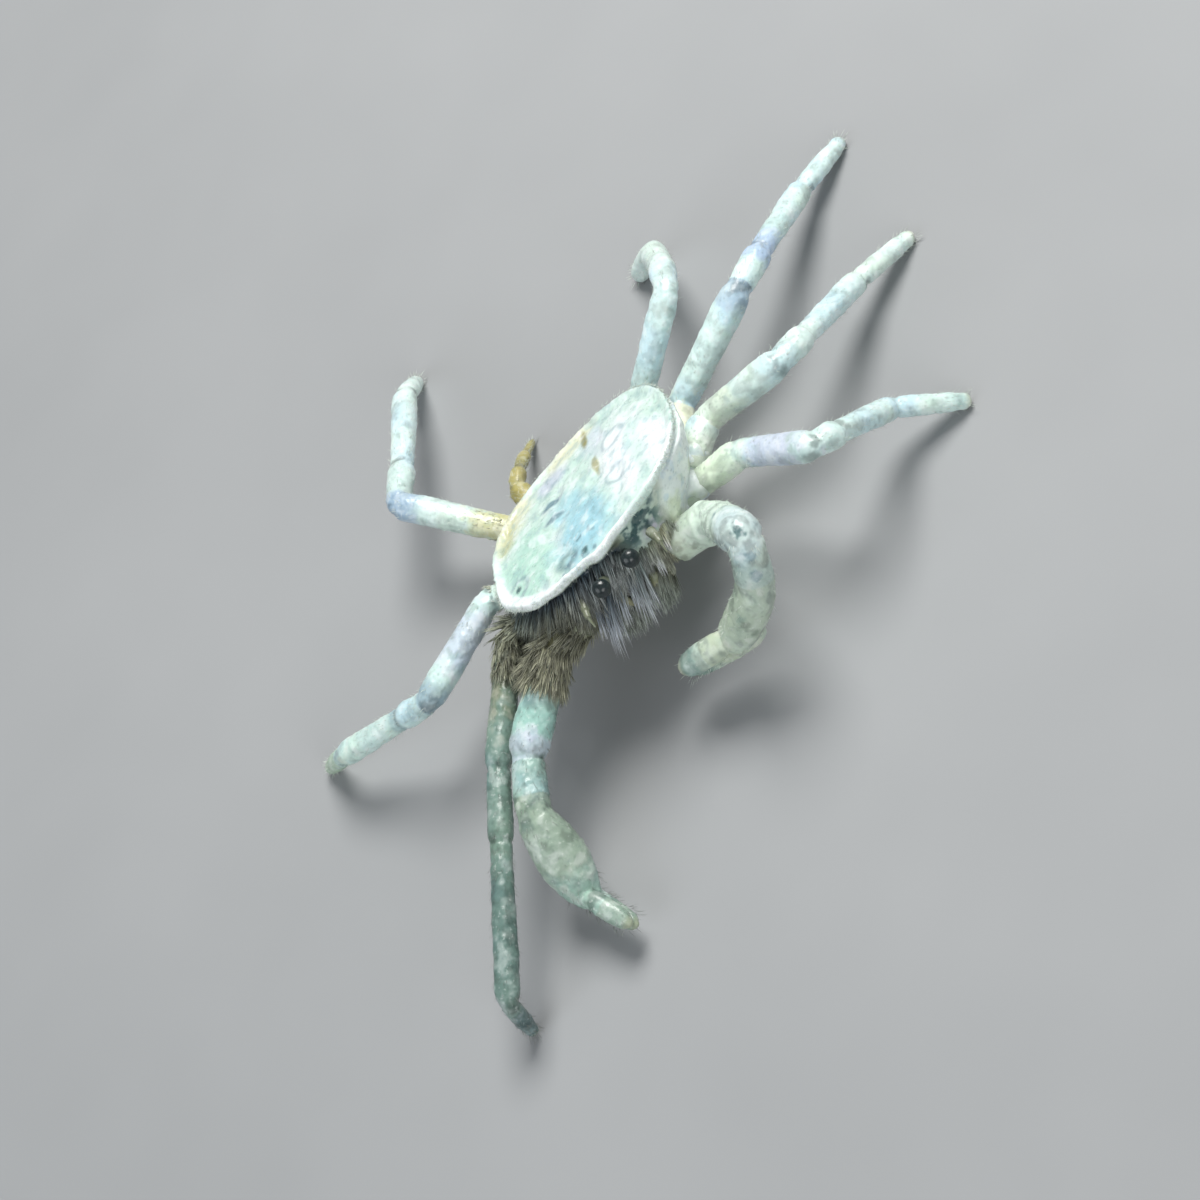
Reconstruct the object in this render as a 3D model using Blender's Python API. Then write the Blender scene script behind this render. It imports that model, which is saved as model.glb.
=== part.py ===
"""Thai micro crab, life size, standing with its long legs spread.

The crab's front points along -Y, its left along +X, and +Z is up. The floor is z = 0 and the
origin lies on it, under the middle of the span. The body is a flat shield tilted nose up; each
limb is a chain of spindle-shaped segments set out from the body by a pair of angles a segment.
"""
import math
import random

import bmesh
import bpy
from mathutils import Matrix, Vector

MM = 0.001

# Body, in the shield's own frame: x to the crab's left, y to its back, z out of the shield
SHIELD_WIDTH = 7.7 * MM
SHIELD_FRONT = 3.2 * MM
SHIELD_BACK = 3.85 * MM
FRONT_SQUARENESS = 2.25
BACK_SQUARENESS = 2.5
SHIELD_TILT = math.radians(24.0)
SHIELD_HEIGHT = 4.1 * MM
BODY_DEPTH = 2.3 * MM
RIM_RISE = 0.14 * MM
DOME_RISE = 0.12 * MM
GROOVE_DEPTH = 0.06 * MM
GROOVE_WIDTH = 0.36 * MM

# Round grooves of the shield: place of the centre behind the shield's centre, and radius
GROOVES = ((-0.9 * MM, 1.35 * MM), (1.1 * MM, 0.95 * MM))

ROSTRUM_LENGTH = 0.22 * MM
ROSTRUM_WIDTH = 0.9 * MM
BODY_SEGMENTS = 48

# Roll of the shield, its left side up: slope, place where it sets in, width over which it does,
# and the depth from which the walls stay level
ROLL_SLOPE = 0.17
ROLL_START = -2.4 * MM
ROLL_EASE = 1.5 * MM
ROLL_FLOOR = 1.6 * MM

# Swelling of the left wall under the raised rim: share of the outline, its depth and its reach
SWELL_SHARE = 0.17
SWELL_DEPTH = 0.6 * MM
SWELL_REACH = 0.5 * MM

# Shares of the outline at which the shield's upper face is sampled
UPPER_SHARES = (0.07, 0.15, 0.23, 0.31, 0.39, 0.47, 0.56, 0.66, 0.76, 0.86)

# Rim and walls, from the shield's edge down: share of the outline at the sides and the back,
# share at the front, and depth below the shield's plane
EDGE = (
    (0.925, 0.925, 0.02 * MM),
    (0.965, 0.965, -RIM_RISE),
    (0.990, 0.990, -0.85 * RIM_RISE),
    (1.000, 1.000, 0.00 * MM),
    (0.985, 0.990, 0.16 * MM),
    (0.900, 0.960, 0.28 * MM),
)
WALL = (
    (0.79, 0.93, 0.58 * MM),
    (0.73, 0.91, 1.12 * MM),
    (0.64, 0.85, 1.62 * MM),
    (0.50, 0.72, 1.98 * MM),
    (0.32, 0.46, 2.20 * MM),
    (0.14, 0.14, BODY_DEPTH),
)

# Middle of the span on the floor, measured from below the shield's centre
SPAN_MIDDLE = (-0.41 * MM, 0.72 * MM)

# Gap that touching pieces keep, and the angle over which an edge is shaded sharp
GAP = 0.30 * MM
SHARP_ANGLE = math.radians(50.0)

# Socket round a limb's root: clearance, depth of its floor behind the stub, and overlap of its
# two cutters; depth to which the stub is sunk in the body
SOCKET_GAP = 0.33 * MM
SOCKET_FLOOR = 0.05 * MM
SOCKET_OVERLAP = 0.45 * MM
STUB_DEPTH = 0.60 * MM

# Where each pair of limbs leaves the body, for the left side
HIPS = {
    1: (2.1 * MM, -2.3 * MM, -1.50 * MM),
    2: (3.0 * MM, -0.8 * MM, -1.15 * MM),
    3: (3.25 * MM, 0.6 * MM, -1.00 * MM),
    4: (2.9 * MM, 1.9 * MM, -1.20 * MM),
    5: (1.9 * MM, 2.8 * MM, -1.25 * MM),
}

# Widest radius of each segment, walking legs and claw arms
LEG_RADII = (0.39 * MM, 0.44 * MM, 0.40 * MM, 0.39 * MM, 0.31 * MM)
ARM_RADII = (0.50 * MM, 0.66 * MM, 0.58 * MM)
PALM_RADIUS = 0.80 * MM
PALM_FLATNESS = 0.78
FINGER_RADIUS = 0.40 * MM
FINGER_FLATNESS = 0.66
FINGER_OPENING = (0.0, -0.35, 0.94)
FINGER_CLOSING = 0.92
WRIST_GAP = 0.65 * MM
KNUCKLE_GAP = 0.67 * MM
MERUS_CAMBER = 0.10 * MM

# Hair: length, widest half width and half depth of a lock, and how deep its root is sunk
LOCK_LENGTH = 1.35 * MM
LOCK_HALF_WIDTH = 0.30 * MM
LOCK_HALF_DEPTH = 0.17 * MM
LOCK_SINK = 0.30 * MM
LOCK_SAG = 0.16
LOCK_STATIONS = ((0.0, 0.92, 1.0), (0.35, 1.0, 0.95), (0.72, 0.70, 0.68), (1.0, 0.20, 0.36))
LOCK_UNEVENNESS = 0.08
LIE_UNEVENNESS = 0.07
FRINGE_SEED = 7
SHAG_SEED = 11
SHAG_FLARE = 0.42

# Outline of a segment: share of its length and share of its widest radius
SPINDLE = ((-0.02, 0.62), (0.07, 0.84), (0.30, 0.94), (0.62, 1.00), (0.88, 0.94), (1.00, 0.74))
ROOT = ((0.00, 0.88), (0.10, 0.92), (0.35, 0.96), (0.70, 1.00), (0.92, 0.92), (1.00, 0.74))
DACTYL = ((-0.03, 0.80), (0.10, 0.98), (0.35, 1.00), (0.65, 0.92), (0.88, 0.78), (1.00, 0.60))
PALM = ((0.00, 0.55), (0.10, 0.74), (0.35, 0.97), (0.65, 1.00), (0.88, 0.84), (1.00, 0.60))
FINGER = ((0.00, 0.90), (0.15, 1.00), (0.45, 0.96), (0.75, 0.84), (0.93, 0.66), (1.00, 0.46))

# How far a segment runs on past its last joint
OVERRUN = 0.16 * MM

# Height of a foot's centre line at its tip, so that the floor cuts a small flat
SOLE_HEIGHT = 0.10 * MM

# Limbs: pair, side (1 left, -1 right), girth, segment lengths in millimetres (ischium, merus,
# carpus, propodus or palm, dactyl or fingers) and each segment's heading in degrees: compass
# angle from +X towards +Y, and slope. A leg's last slope is worked out from the floor.
LIMBS = {
    "left_claw": (
        1, 1, 1.05, (1.0, 3.2, 1.9, 2.5, 2.0),
        ((-15, 14), (-71, 33), (-141, -58), (168, -44), (165, -11)),
    ),
    "right_claw": (
        1, -1, 1.00, (1.3, 3.3, 1.9, 2.8, 1.9),
        ((-173, -2), (-136, -6), (-114, -9), (-96, -39), (-65, -7)),
    ),
    "left_leg_2": (
        2, 1, 1.00, (1.6, 3.2, 1.0, 2.9, 2.5),
        ((-4, 4), (-46, 16), (18, -34), (43, -51), (-16, 0)),
    ),
    "right_leg_2": (
        2, -1, 1.00, (1.5, 4.2, 2.3, 4.9, 2.0),
        ((178, -4), (-124, -4), (-117, -6), (-118, -8), (-165, 0)),
    ),
    "left_leg_3": (
        3, 1, 1.00, (1.2, 3.1, 1.3, 3.1, 2.6),
        ((48, -6), (-9, 11), (31, -24), (40, -31), (27, 0)),
    ),
    "right_leg_3": (
        3, -1, 1.00, (1.4, 3.6, 1.5, 3.2, 2.4),
        ((166, 14), (-151, 2), (154, -24), (157, -20), (136, 0)),
    ),
    "left_leg_4": (
        4, 1, 1.00, (1.7, 4.1, 1.6, 3.3, 2.5),
        ((74, -12), (20, 15), (42, -16), (48, -26), (37, 0)),
    ),
    "right_leg_4": (
        4, -1, 1.00, (1.9, 4.3, 1.7, 3.4, 2.4),
        ((96, -15), (133, 18), (71, -16), (73, -14), (87, 0)),
    ),
    "left_leg_5": (
        5, 1, 0.95, (2.0, 4.1, 1.4, 2.4, 1.8),
        ((89, -10), (29, 24), (82, -17), (99, -35), (146, 0)),
    ),
    "right_leg_5": (
        5, -1, 0.78, (1.0, 1.5, 0.8, 1.3, 1.3),
        ((98, -4), (108, 6), (66, -14), (79, -37), (78, 0)),
    ),
}

# Fringe under the front rim: place round the outline in degrees from the crab's left towards its
# back, depth below the shield's plane, lie and share of the usual length
FRINGE = (
    (-165, 0.40 * MM, (-0.88, -0.46, -0.10), 0.70),
    (-156, 0.36 * MM, (-0.80, -0.55, -0.06), 0.80),
    (-147, 0.36 * MM, (-0.66, -0.70, -0.06), 0.95),
    (-138, 0.36 * MM, (-0.56, -0.80, -0.08), 1.05),
    (-129, 0.40 * MM, (-0.48, -0.84, -0.16), 1.10),
    (-121, 0.42 * MM, (-0.44, -0.86, -0.20), 1.00),
    (-99, 0.85 * MM, (-0.36, -0.84, -0.36), 0.90),
    (-90, 0.88 * MM, (-0.34, -0.86, -0.38), 1.00),
    (-81, 0.85 * MM, (-0.30, -0.84, -0.36), 0.90),
    (-54, 0.40 * MM, (-0.05, -0.92, -0.16), 0.80),
    (-46, 0.40 * MM, (-0.10, -0.90, -0.24), 0.80),
    (-37, 0.36 * MM, (-0.05, -0.92, -0.20), 0.55),
)

# Shag of the right claw's arm: share of the merus, places round it in degrees, share of the length
SHAG = (
    (0.10, (0, 45, 90, 135), 0.80),
    (0.30, (15, 60, 105, 150), 0.72),
)

# Middle line of a mouth leg, in millimetres of the shield's frame
MOUTH = (
    (0.62, -2.84, -1.34),
    (0.62, -2.70, -1.72),
    (0.60, -2.36, -2.04),
    (0.57, -1.92, -2.22),
    (0.55, -1.45, -2.30),
)
MOUTH_SHARES = (0.70, 0.95, 1.00, 0.90, 0.64)

# Beard of a mouth leg: roots in millimetres of the shield's frame, share of the usual length
BEARD = ((0.52, -2.98, -1.66, 0.62), (0.80, -2.90, -1.78, 0.66), (0.64, -2.72, -2.04, 0.62))
BEARD_SINK = 0.12 * MM
BEARD_LIE = (-0.44, -0.60, -0.66)

EYE = ((0.0, 0.76), (0.25, 0.74), (0.42, 0.88), (0.60, 1.0), (0.80, 0.92), (0.94, 0.62), (1.0, 0.30))
EYE_RADIUS = 0.32 * MM
ANTENNA_RADIUS = 0.25 * MM
MAXILLIPED_HALF_WIDTH = 0.42 * MM
MAXILLIPED_HALF_DEPTH = 0.26 * MM
ABDOMEN_HALF_WIDTH = 1.15 * MM
ABDOMEN_HALF_DEPTH = 0.26 * MM
DOWN = Vector((0.0, 0.0, -1.0))

COLOURS = {
    "shield": ((0.62, 0.76, 0.74, 1.0), 0.45),
    "limb": ((0.74, 0.82, 0.76, 1.0), 0.42),
    "hairy": ((0.36, 0.37, 0.24, 1.0), 0.75),
    "eye": ((0.015, 0.02, 0.025, 1.0), 0.12),
}


def clear_scene():
    for thing in list(bpy.data.objects):
        bpy.data.objects.remove(thing, do_unlink=True)


def make_collection(name):
    group = bpy.data.collections.new(name)
    bpy.context.scene.collection.children.link(group)
    return group


def make_material(name):
    colour, roughness = COLOURS[name]
    material = bpy.data.materials.new(name)
    material.use_nodes = True
    shader = material.node_tree.nodes["Principled BSDF"]
    shader.inputs["Base Color"].default_value = colour
    shader.inputs["Roughness"].default_value = roughness
    shader.inputs["Metallic"].default_value = 0.0
    return material


clear_scene()
CRAB = make_collection("thai_micro_crab")
WORK = make_collection("working_pieces")
MATERIALS = {name: make_material(name) for name in COLOURS}

SHIELD_FRAME = (
    Matrix.Translation((-SPAN_MIDDLE[0], -SPAN_MIDDLE[1], SHIELD_HEIGHT))
    @ Matrix.Rotation(-SHIELD_TILT, 4, "X")
)


def heading(azimuth, slope):
    """Unit vector at a compass angle from +X towards +Y and a slope, both in degrees."""
    turn = math.radians(azimuth)
    rise = math.radians(slope)
    return Vector((math.cos(rise) * math.cos(turn), math.cos(rise) * math.sin(turn), math.sin(rise)))


def joints_of(limb):
    """Points of a limb's joints from the hip to the tip, a leg's tip resting on the floor."""
    pair, side, _, lengths, headings = LIMBS[limb]
    x, y, z = HIPS[pair]
    points = [SHIELD_FRAME @ Vector((side * x, y, z))]
    for length, (azimuth, slope) in zip(lengths, headings):
        if pair > 1 and len(points) == len(lengths):
            drop = (points[-1].z - SOLE_HEIGHT) / (length * MM)
            slope = -math.degrees(math.asin(min(drop, 1.0)))
        points.append(points[-1] + heading(azimuth, slope) * length * MM)
    return points


def segment_frame(start, end, up=Vector((0.0, 0.0, 1.0))):
    """Matrix whose X runs from start to end and whose Z is as near to up as it can be."""
    along = (end - start).normalized()
    across = up.cross(along)
    if across.length < 1e-6:
        across = Vector((0.0, 1.0, 0.0))
    across.normalize()
    lift = along.cross(across)
    turn = Matrix((along, across, lift)).transposed().to_4x4()
    return Matrix.Translation(start) @ turn


def object_from_mesh(name, mesh, group):
    piece = bpy.data.objects.new(name, mesh)
    group.objects.link(piece)
    return piece


def tube(points, radii, sides=2, flatten=1.0, frame=Matrix.Identity(4)):
    """Closed tube along local points with a radius at each, flattened along local Z."""
    curve = bpy.data.curves.new("tube", "CURVE")
    curve.dimensions = "3D"
    curve.bevel_depth = 1.0
    curve.bevel_resolution = sides
    curve.use_fill_caps = True
    curve.twist_mode = "Z_UP"
    spline = curve.splines.new("POLY")
    spline.points.add(len(points) - 1)
    for knot, point, radius in zip(spline.points, points, radii):
        knot.co = (*point, 1.0)
        knot.radius = radius
    guide = object_from_mesh("tube", curve, WORK)
    bpy.context.view_layer.update()
    seen = guide.evaluated_get(bpy.context.evaluated_depsgraph_get())
    mesh = bpy.data.meshes.new_from_object(seen)
    bpy.data.objects.remove(guide, do_unlink=True)
    cage = bmesh.new()
    cage.from_mesh(mesh)
    bmesh.ops.remove_doubles(cage, verts=cage.verts, dist=0.0005 * MM)
    bmesh.ops.scale(cage, vec=(1.0, 1.0, flatten), verts=cage.verts)
    bmesh.ops.transform(cage, matrix=frame, verts=cage.verts)
    bmesh.ops.recalc_face_normals(cage, faces=cage.faces)
    cage.to_mesh(mesh)
    cage.free()
    return object_from_mesh("tube", mesh, WORK)


def spindle(start, end, radius, outline=SPINDLE, camber=0.0, sides=2, flatten=1.0, up=None):
    """Segment from one joint to the next, its ends rounded and run a little past the joints."""
    length = (end - start).length
    points = []
    radii = []
    for share, width in outline:
        reach = share * length
        if share == 1.0:
            reach += OVERRUN
        points.append((reach, 0.0, camber * math.sin(math.pi * max(share, 0.0))))
        radii.append(radius * width)
    frame = segment_frame(start, end, up or Vector((0.0, 0.0, 1.0)))
    return tube(points, radii, sides, flatten, frame)


def combine(target, pieces, operation):
    """Joins the pieces to the target or takes them out of it, then removes them."""
    others = bpy.data.collections.new("others")
    for piece in pieces:
        others.objects.link(piece)
    joiner = target.modifiers.new("combine", "BOOLEAN")
    joiner.operation = operation
    joiner.operand_type = "COLLECTION"
    joiner.collection = others
    bpy.context.view_layer.update()
    seen = target.evaluated_get(bpy.context.evaluated_depsgraph_get())
    mesh = bpy.data.meshes.new_from_object(seen)
    target.modifiers.clear()
    target.data = mesh
    bpy.data.collections.remove(others)
    for piece in pieces:
        bpy.data.objects.remove(piece, do_unlink=True)
    keep_largest_shell(mesh)


def fuse(name, pieces, material):
    """One closed body from overlapping closed pieces, with the material and smooth shading."""
    first, *rest = pieces
    target = object_from_mesh(name, first.data, CRAB)
    bpy.data.objects.remove(first, do_unlink=True)
    if rest:
        combine(target, rest, "UNION")
    target.data.name = name
    target.data.materials.clear()
    target.data.materials.append(MATERIALS[material])
    target.data.shade_smooth()
    target.data.set_sharp_from_angle(angle=SHARP_ANGLE)
    return target


def keep_largest_shell(mesh):
    """Drops every closed surface of the mesh but the one that encloses the most space."""
    cage = bmesh.new()
    cage.from_mesh(mesh)
    unseen = set(cage.faces)
    shells = []
    while unseen:
        front = [unseen.pop()]
        shell = set(front)
        while front:
            for edge in front.pop().edges:
                for face in edge.link_faces:
                    if face in unseen:
                        unseen.remove(face)
                        shell.add(face)
                        front.append(face)
        shells.append(shell)
    if len(shells) > 1:
        largest = max(shells, key=shell_volume)
        scraps = [face for shell in shells if shell is not largest for face in shell]
        bmesh.ops.delete(cage, geom=scraps, context="FACES")
        loose = [vertex for vertex in cage.verts if not vertex.link_faces]
        bmesh.ops.delete(cage, geom=loose, context="VERTS")
    cage.to_mesh(mesh)
    cage.free()


def shell_volume(shell):
    total = 0.0
    for face in shell:
        corners = [vertex.co for vertex in face.verts]
        for second, third in zip(corners[1:], corners[2:]):
            total += corners[0].dot(second.cross(third)) / 6.0
    return total


def cut_at_floor(piece):
    """Cuts a foot off flat at the floor and closes it."""
    cage = bmesh.new()
    cage.from_mesh(piece.data)
    geometry = cage.verts[:] + cage.edges[:] + cage.faces[:]
    bmesh.ops.bisect_plane(
        cage, geom=geometry, dist=1e-9, plane_co=(0, 0, 0), plane_no=(0, 0, -1), clear_outer=True
    )
    rim = [edge for edge in cage.edges if edge.is_boundary]
    bmesh.ops.edgeloop_fill(cage, edges=rim)
    bmesh.ops.recalc_face_normals(cage, faces=cage.faces)
    cage.to_mesh(piece.data)
    cage.free()


# Body

def outline_point(turn, share=1.0):
    """Point of the shield's outline, turn in radians from the crab's left towards its back."""
    power = 2.0 / (BACK_SQUARENESS if math.sin(turn) > 0 else FRONT_SQUARENESS)
    x = math.copysign(abs(math.cos(turn)) ** power, math.cos(turn)) * SHIELD_WIDTH / 2
    y = math.copysign(abs(math.sin(turn)) ** power, math.sin(turn))
    y *= SHIELD_BACK if y > 0 else SHIELD_FRONT
    return x * share, y * share


def rostrum_reach(x, y):
    """How far the blunt rostrum carries the front of the shield forward."""
    if y > -0.5 * SHIELD_FRONT:
        return 0.0
    return ROSTRUM_LENGTH * math.exp(-((x / (0.5 * ROSTRUM_WIDTH)) ** 4))


def shield_height(x, y):
    """Height of the shield's top face over its plane: a low dome with shallow grooves."""
    across = x / (SHIELD_WIDTH / 2)
    along = y / SHIELD_BACK
    height = DOME_RISE * (1.0 - across ** 2 - along ** 2)
    for centre, radius in GROOVES:
        edge = math.hypot(x, y - centre) - radius
        height -= GROOVE_DEPTH * math.exp(-((edge / GROOVE_WIDTH) ** 2))
    return height


def roll_rise(x):
    """How far the roll lifts the shield at a place across it."""
    past = x - ROLL_START
    return ROLL_SLOPE * (math.hypot(past, ROLL_EASE) + past) / 2.0


def upper_ring(share):
    ring = []
    for step in range(BODY_SEGMENTS):
        x, y = outline_point(2.0 * math.pi * step / BODY_SEGMENTS, share)
        ring.append(Vector((x, y, shield_height(x, y) + roll_rise(x))))
    return ring


def wall_point(turn, side_share, front_share, depth):
    """Point of the rim or the wall: the face under the front stands out further than the sides."""
    ahead = max(0.0, -math.sin(turn)) ** 3
    if depth >= EDGE[-1][2]:
        swell = SWELL_SHARE * math.exp(-(((depth - SWELL_DEPTH) / SWELL_REACH) ** 2))
        side_share += swell * max(0.0, math.cos(turn)) ** 2
    x, y = outline_point(turn, side_share + (front_share - side_share) * ahead)
    if depth < EDGE[-1][2]:
        y -= rostrum_reach(x, y)
    held = min(1.0, max(0.0, (ROLL_FLOOR - depth) / (ROLL_FLOOR - EDGE[-1][2])))
    return Vector((x, y, roll_rise(x) * held - depth))


def wall_ring(side_share, front_share, depth):
    turns = [2.0 * math.pi * step / BODY_SEGMENTS for step in range(BODY_SEGMENTS)]
    return [wall_point(turn, side_share, front_share, depth) for turn in turns]


def wall_at(turn, depth):
    """Point of the wall at any depth, between the rows that describe it."""
    rows = (EDGE[-1], *WALL)
    for upper, lower in zip(rows, rows[1:]):
        if depth <= lower[2]:
            part = (depth - upper[2]) / (lower[2] - upper[2])
            shares = [high + (low - high) * part for high, low in zip(upper[:2], lower[:2])]
            return wall_point(turn, *shares, depth)
    return wall_point(turn, *WALL[-1])


def loft(rings, first, last):
    """Closed body through rings of equal counts, its ends closed by a fan to a point."""
    cage = bmesh.new()
    rows = [[cage.verts.new(point) for point in ring] for ring in rings]
    count = len(rows[0])
    for upper, lower in zip(rows, rows[1:]):
        for here in range(count):
            there = (here + 1) % count
            cage.faces.new((upper[here], lower[here], lower[there], upper[there]))
    for row, point in ((rows[0], first), (rows[-1], last)):
        centre = cage.verts.new(point)
        for here in range(count):
            cage.faces.new((centre, row[here], row[(here + 1) % count]))
    bmesh.ops.recalc_face_normals(cage, faces=cage.faces)
    mesh = bpy.data.meshes.new("loft")
    cage.to_mesh(mesh)
    cage.free()
    return mesh


def body_core():
    """Shield, rim, side walls and underside as one loft."""
    rings = [upper_ring(share) for share in UPPER_SHARES]
    rings += [wall_ring(*row) for row in EDGE + WALL]
    top = Vector((0.0, 0.0, shield_height(0.0, 0.0) + roll_rise(0.0)))
    mesh = loft(rings, top, Vector((0.0, 0.0, -BODY_DEPTH)))
    mesh.transform(SHIELD_FRAME)
    return object_from_mesh("core", mesh, WORK)


def limb_radius(limb):
    if LIMBS[limb][0] == 1:
        return ARM_RADII[0]
    return LEG_RADII[0] * LIMBS[limb][2]


def socket(limb):
    """Cutters that keep the body clear of a limb's first two segments."""
    start, second, third = joints_of(limb)[:3]
    away = (second - start).normalized()
    inner = start - away * (GAP / 2 + SOCKET_FLOOR)
    narrow = limb_radius(limb) + SOCKET_GAP
    wide = (ARM_RADII if LIMBS[limb][0] == 1 else LEG_RADII)[1] + SOCKET_GAP
    straight = ((0.0, 0.0, 0.0), ((second - inner).length + narrow * 0.4, 0.0, 0.0))
    onward = ((-SOCKET_OVERLAP, 0.0, 0.0), ((third - second).length, 0.0, 0.0))
    return [
        tube(straight, (narrow, narrow), 3, 1.0, segment_frame(inner, second)),
        tube(onward, (wide, wide), 3, 1.0, segment_frame(second, third)),
    ]


def hip_stub(limb):
    """Short round stub that carries a limb, its flat end square to the limb's first segment."""
    start, second = joints_of(limb)[:2]
    away = (second - start).normalized()
    radius = limb_radius(limb) * 0.98
    inner = start - away * STUB_DEPTH
    outer = start - away * GAP / 2
    points = [(0.0, 0.0, 0.0), ((outer - inner).length, 0.0, 0.0)]
    return tube(points, [radius, radius], 3, 1.0, segment_frame(inner, outer))


# Hair

def lock(root, lie, sag, facing, length, sink=LOCK_SINK):
    """Flat tapered lock from its sunk root to its tip, bending towards sag along its lie."""
    start = root - lie * sink
    reach = length + sink
    points = []
    widths = []
    depths = []
    for share, wide, deep in LOCK_STATIONS:
        points.append(start + lie * reach * share + sag * length * LOCK_SAG * share ** 2)
        widths.append(LOCK_HALF_WIDTH * wide)
        depths.append(LOCK_HALF_DEPTH * deep)
    return strap(points, widths, depths, facing, 6)


def uneven_length(draw, share):
    return LOCK_LENGTH * share * draw.uniform(1.0 - LOCK_UNEVENNESS, 1.0 + LOCK_UNEVENNESS)


def fringe_locks():
    """Locks of the face's fringe, rooted on the wall under the front rim and hanging forward."""
    draw = random.Random(FRINGE_SEED)
    pieces = []
    for turn, depth, lie, length in FRINGE:
        root = SHIELD_FRAME @ wall_at(math.radians(turn), depth)
        stray = Vector([draw.uniform(-LIE_UNEVENNESS, LIE_UNEVENNESS) for axis in range(3)])
        way = (Vector(lie) + stray).normalized()
        facing = facing_on_body(0.2 * math.cos(math.radians(turn)), -0.7, 0.7)
        pieces.append(lock(root, way, DOWN, facing, uneven_length(draw, length)))
    return pieces


def make_body():
    core = fuse("core", [body_core()] + fringe_locks(), "shield")
    cutters = [piece for limb in LIMBS for piece in socket(limb)]
    cutters += [mouth_plate(side, GAP) for side in (1, -1)]
    combine(core, cutters, "DIFFERENCE")
    fuse("cephalothorax", [core] + [hip_stub(limb) for limb in LIMBS], "shield")


# Limbs

def make_leg(limb):
    points = joints_of(limb)
    girth = LIMBS[limb][2]
    away = (points[1] - points[0]).normalized()
    points[0] = points[0] + away * GAP / 2
    pieces = []
    for number, radius in enumerate(LEG_RADII):
        outline = SPINDLE
        if number == 0:
            outline = ROOT
        if number == len(LEG_RADII) - 1:
            outline = DACTYL
        camber = MERUS_CAMBER if number == 1 else 0.0
        pieces.append(spindle(points[number], points[number + 1], radius * girth, outline, camber))
    leg = fuse(limb, pieces, "limb")
    cut_at_floor(leg)


def shag_locks(start, end, radius):
    """Locks of a claw arm's shag, in rows round its merus, lying along it and a little out."""
    draw = random.Random(SHAG_SEED)
    along = (end - start).normalized()
    frame = segment_frame(start, end)
    reach = (end - start).length
    pieces = []
    for share, turns, length in SHAG:
        for turn in turns:
            angle = math.radians(turn + draw.uniform(-8.0, 8.0))
            out = frame.to_3x3() @ Vector((0.0, math.cos(angle), math.sin(angle)))
            root = start + along * share * reach + out * radius * 0.88
            way = (along + out * SHAG_FLARE).normalized()
            pieces.append(lock(root, way, along, out, uneven_length(draw, length)))
    return pieces


def make_claw(limb):
    points = joints_of(limb)
    side = limb.split("_")[0]
    away = (points[1] - points[0]).normalized()
    points[0] = points[0] + away * GAP / 2
    palm_line = (points[4] - points[3]).normalized()
    arm = []
    for number, radius in enumerate(ARM_RADII):
        outline = ROOT if number == 0 else SPINDLE
        arm.append(spindle(points[number], points[number + 1], radius, outline))
    if side == "right":
        arm += shag_locks(points[1], points[2], ARM_RADII[1])
    fuse(side + "_claw_arm", arm, "hairy" if side == "right" else "limb")
    hand_start = points[3] + palm_line * WRIST_GAP
    palm = spindle(hand_start, points[4], PALM_RADIUS, PALM, 0.0, 3, PALM_FLATNESS)
    finger_line = (points[5] - points[4]).normalized()
    opening = Vector(FINGER_OPENING)
    opening = (opening - finger_line * opening.dot(finger_line)).normalized()
    root_spread = opening * (FINGER_RADIUS * FINGER_FLATNESS + 0.6 * GAP)
    tip_spread = root_spread * FINGER_CLOSING
    fixed = spindle(
        points[4] - finger_line * KNUCKLE_GAP - root_spread, points[5] - tip_spread,
        FINGER_RADIUS, FINGER, 0.0, 3, FINGER_FLATNESS, opening
    )
    fuse(side + "_claw_hand", [palm, fixed], "limb")
    movable = spindle(
        points[4] + finger_line * KNUCKLE_GAP + root_spread, points[5] + tip_spread,
        FINGER_RADIUS, FINGER, 0.0, 3, FINGER_FLATNESS, opening
    )
    fuse(side + "_claw_finger", [movable], "limb")


def strap(points, half_widths, half_depths, facing, sides=6):
    """Closed strap along points, its flat side turned to facing, a width and a depth at each."""
    cage = bmesh.new()
    rows = []
    count = len(points)
    for number, point in enumerate(points):
        before = points[max(number - 1, 0)]
        after = points[min(number + 1, count - 1)]
        along = (after - before).normalized()
        across = facing.cross(along).normalized()
        lift = along.cross(across)
        row = []
        for step in range(sides):
            turn = 2.0 * math.pi * (step + 0.5) / sides
            reach = across * math.cos(turn) * half_widths[number]
            rise = lift * math.sin(turn) * half_depths[number]
            row.append(cage.verts.new(point + reach + rise))
        rows.append(row)
    for lower, upper in zip(rows, rows[1:]):
        for here in range(sides):
            there = (here + 1) % sides
            cage.faces.new((lower[here], lower[there], upper[there], upper[here]))
    cage.faces.new(rows[0])
    cage.faces.new(rows[-1])
    bmesh.ops.recalc_face_normals(cage, faces=cage.faces)
    mesh = bpy.data.meshes.new("strap")
    cage.to_mesh(mesh)
    cage.free()
    return object_from_mesh("strap", mesh, WORK)


def on_body(side, *points):
    """Points of the shield's frame as points of the crab's, x counted outwards on one side."""
    return [SHIELD_FRAME @ Vector((side * x * MM, y * MM, z * MM)) for x, y, z in points]


def facing_on_body(x, y, z):
    return (SHIELD_FRAME.to_3x3() @ Vector((x, y, z))).normalized()


def on_face(side, *points):
    """Points under the front rim, carried up by the roll of the shield."""
    return on_body(side, *[(x, y, z + roll_rise(side * x * MM) / MM) for x, y, z in points])


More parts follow.
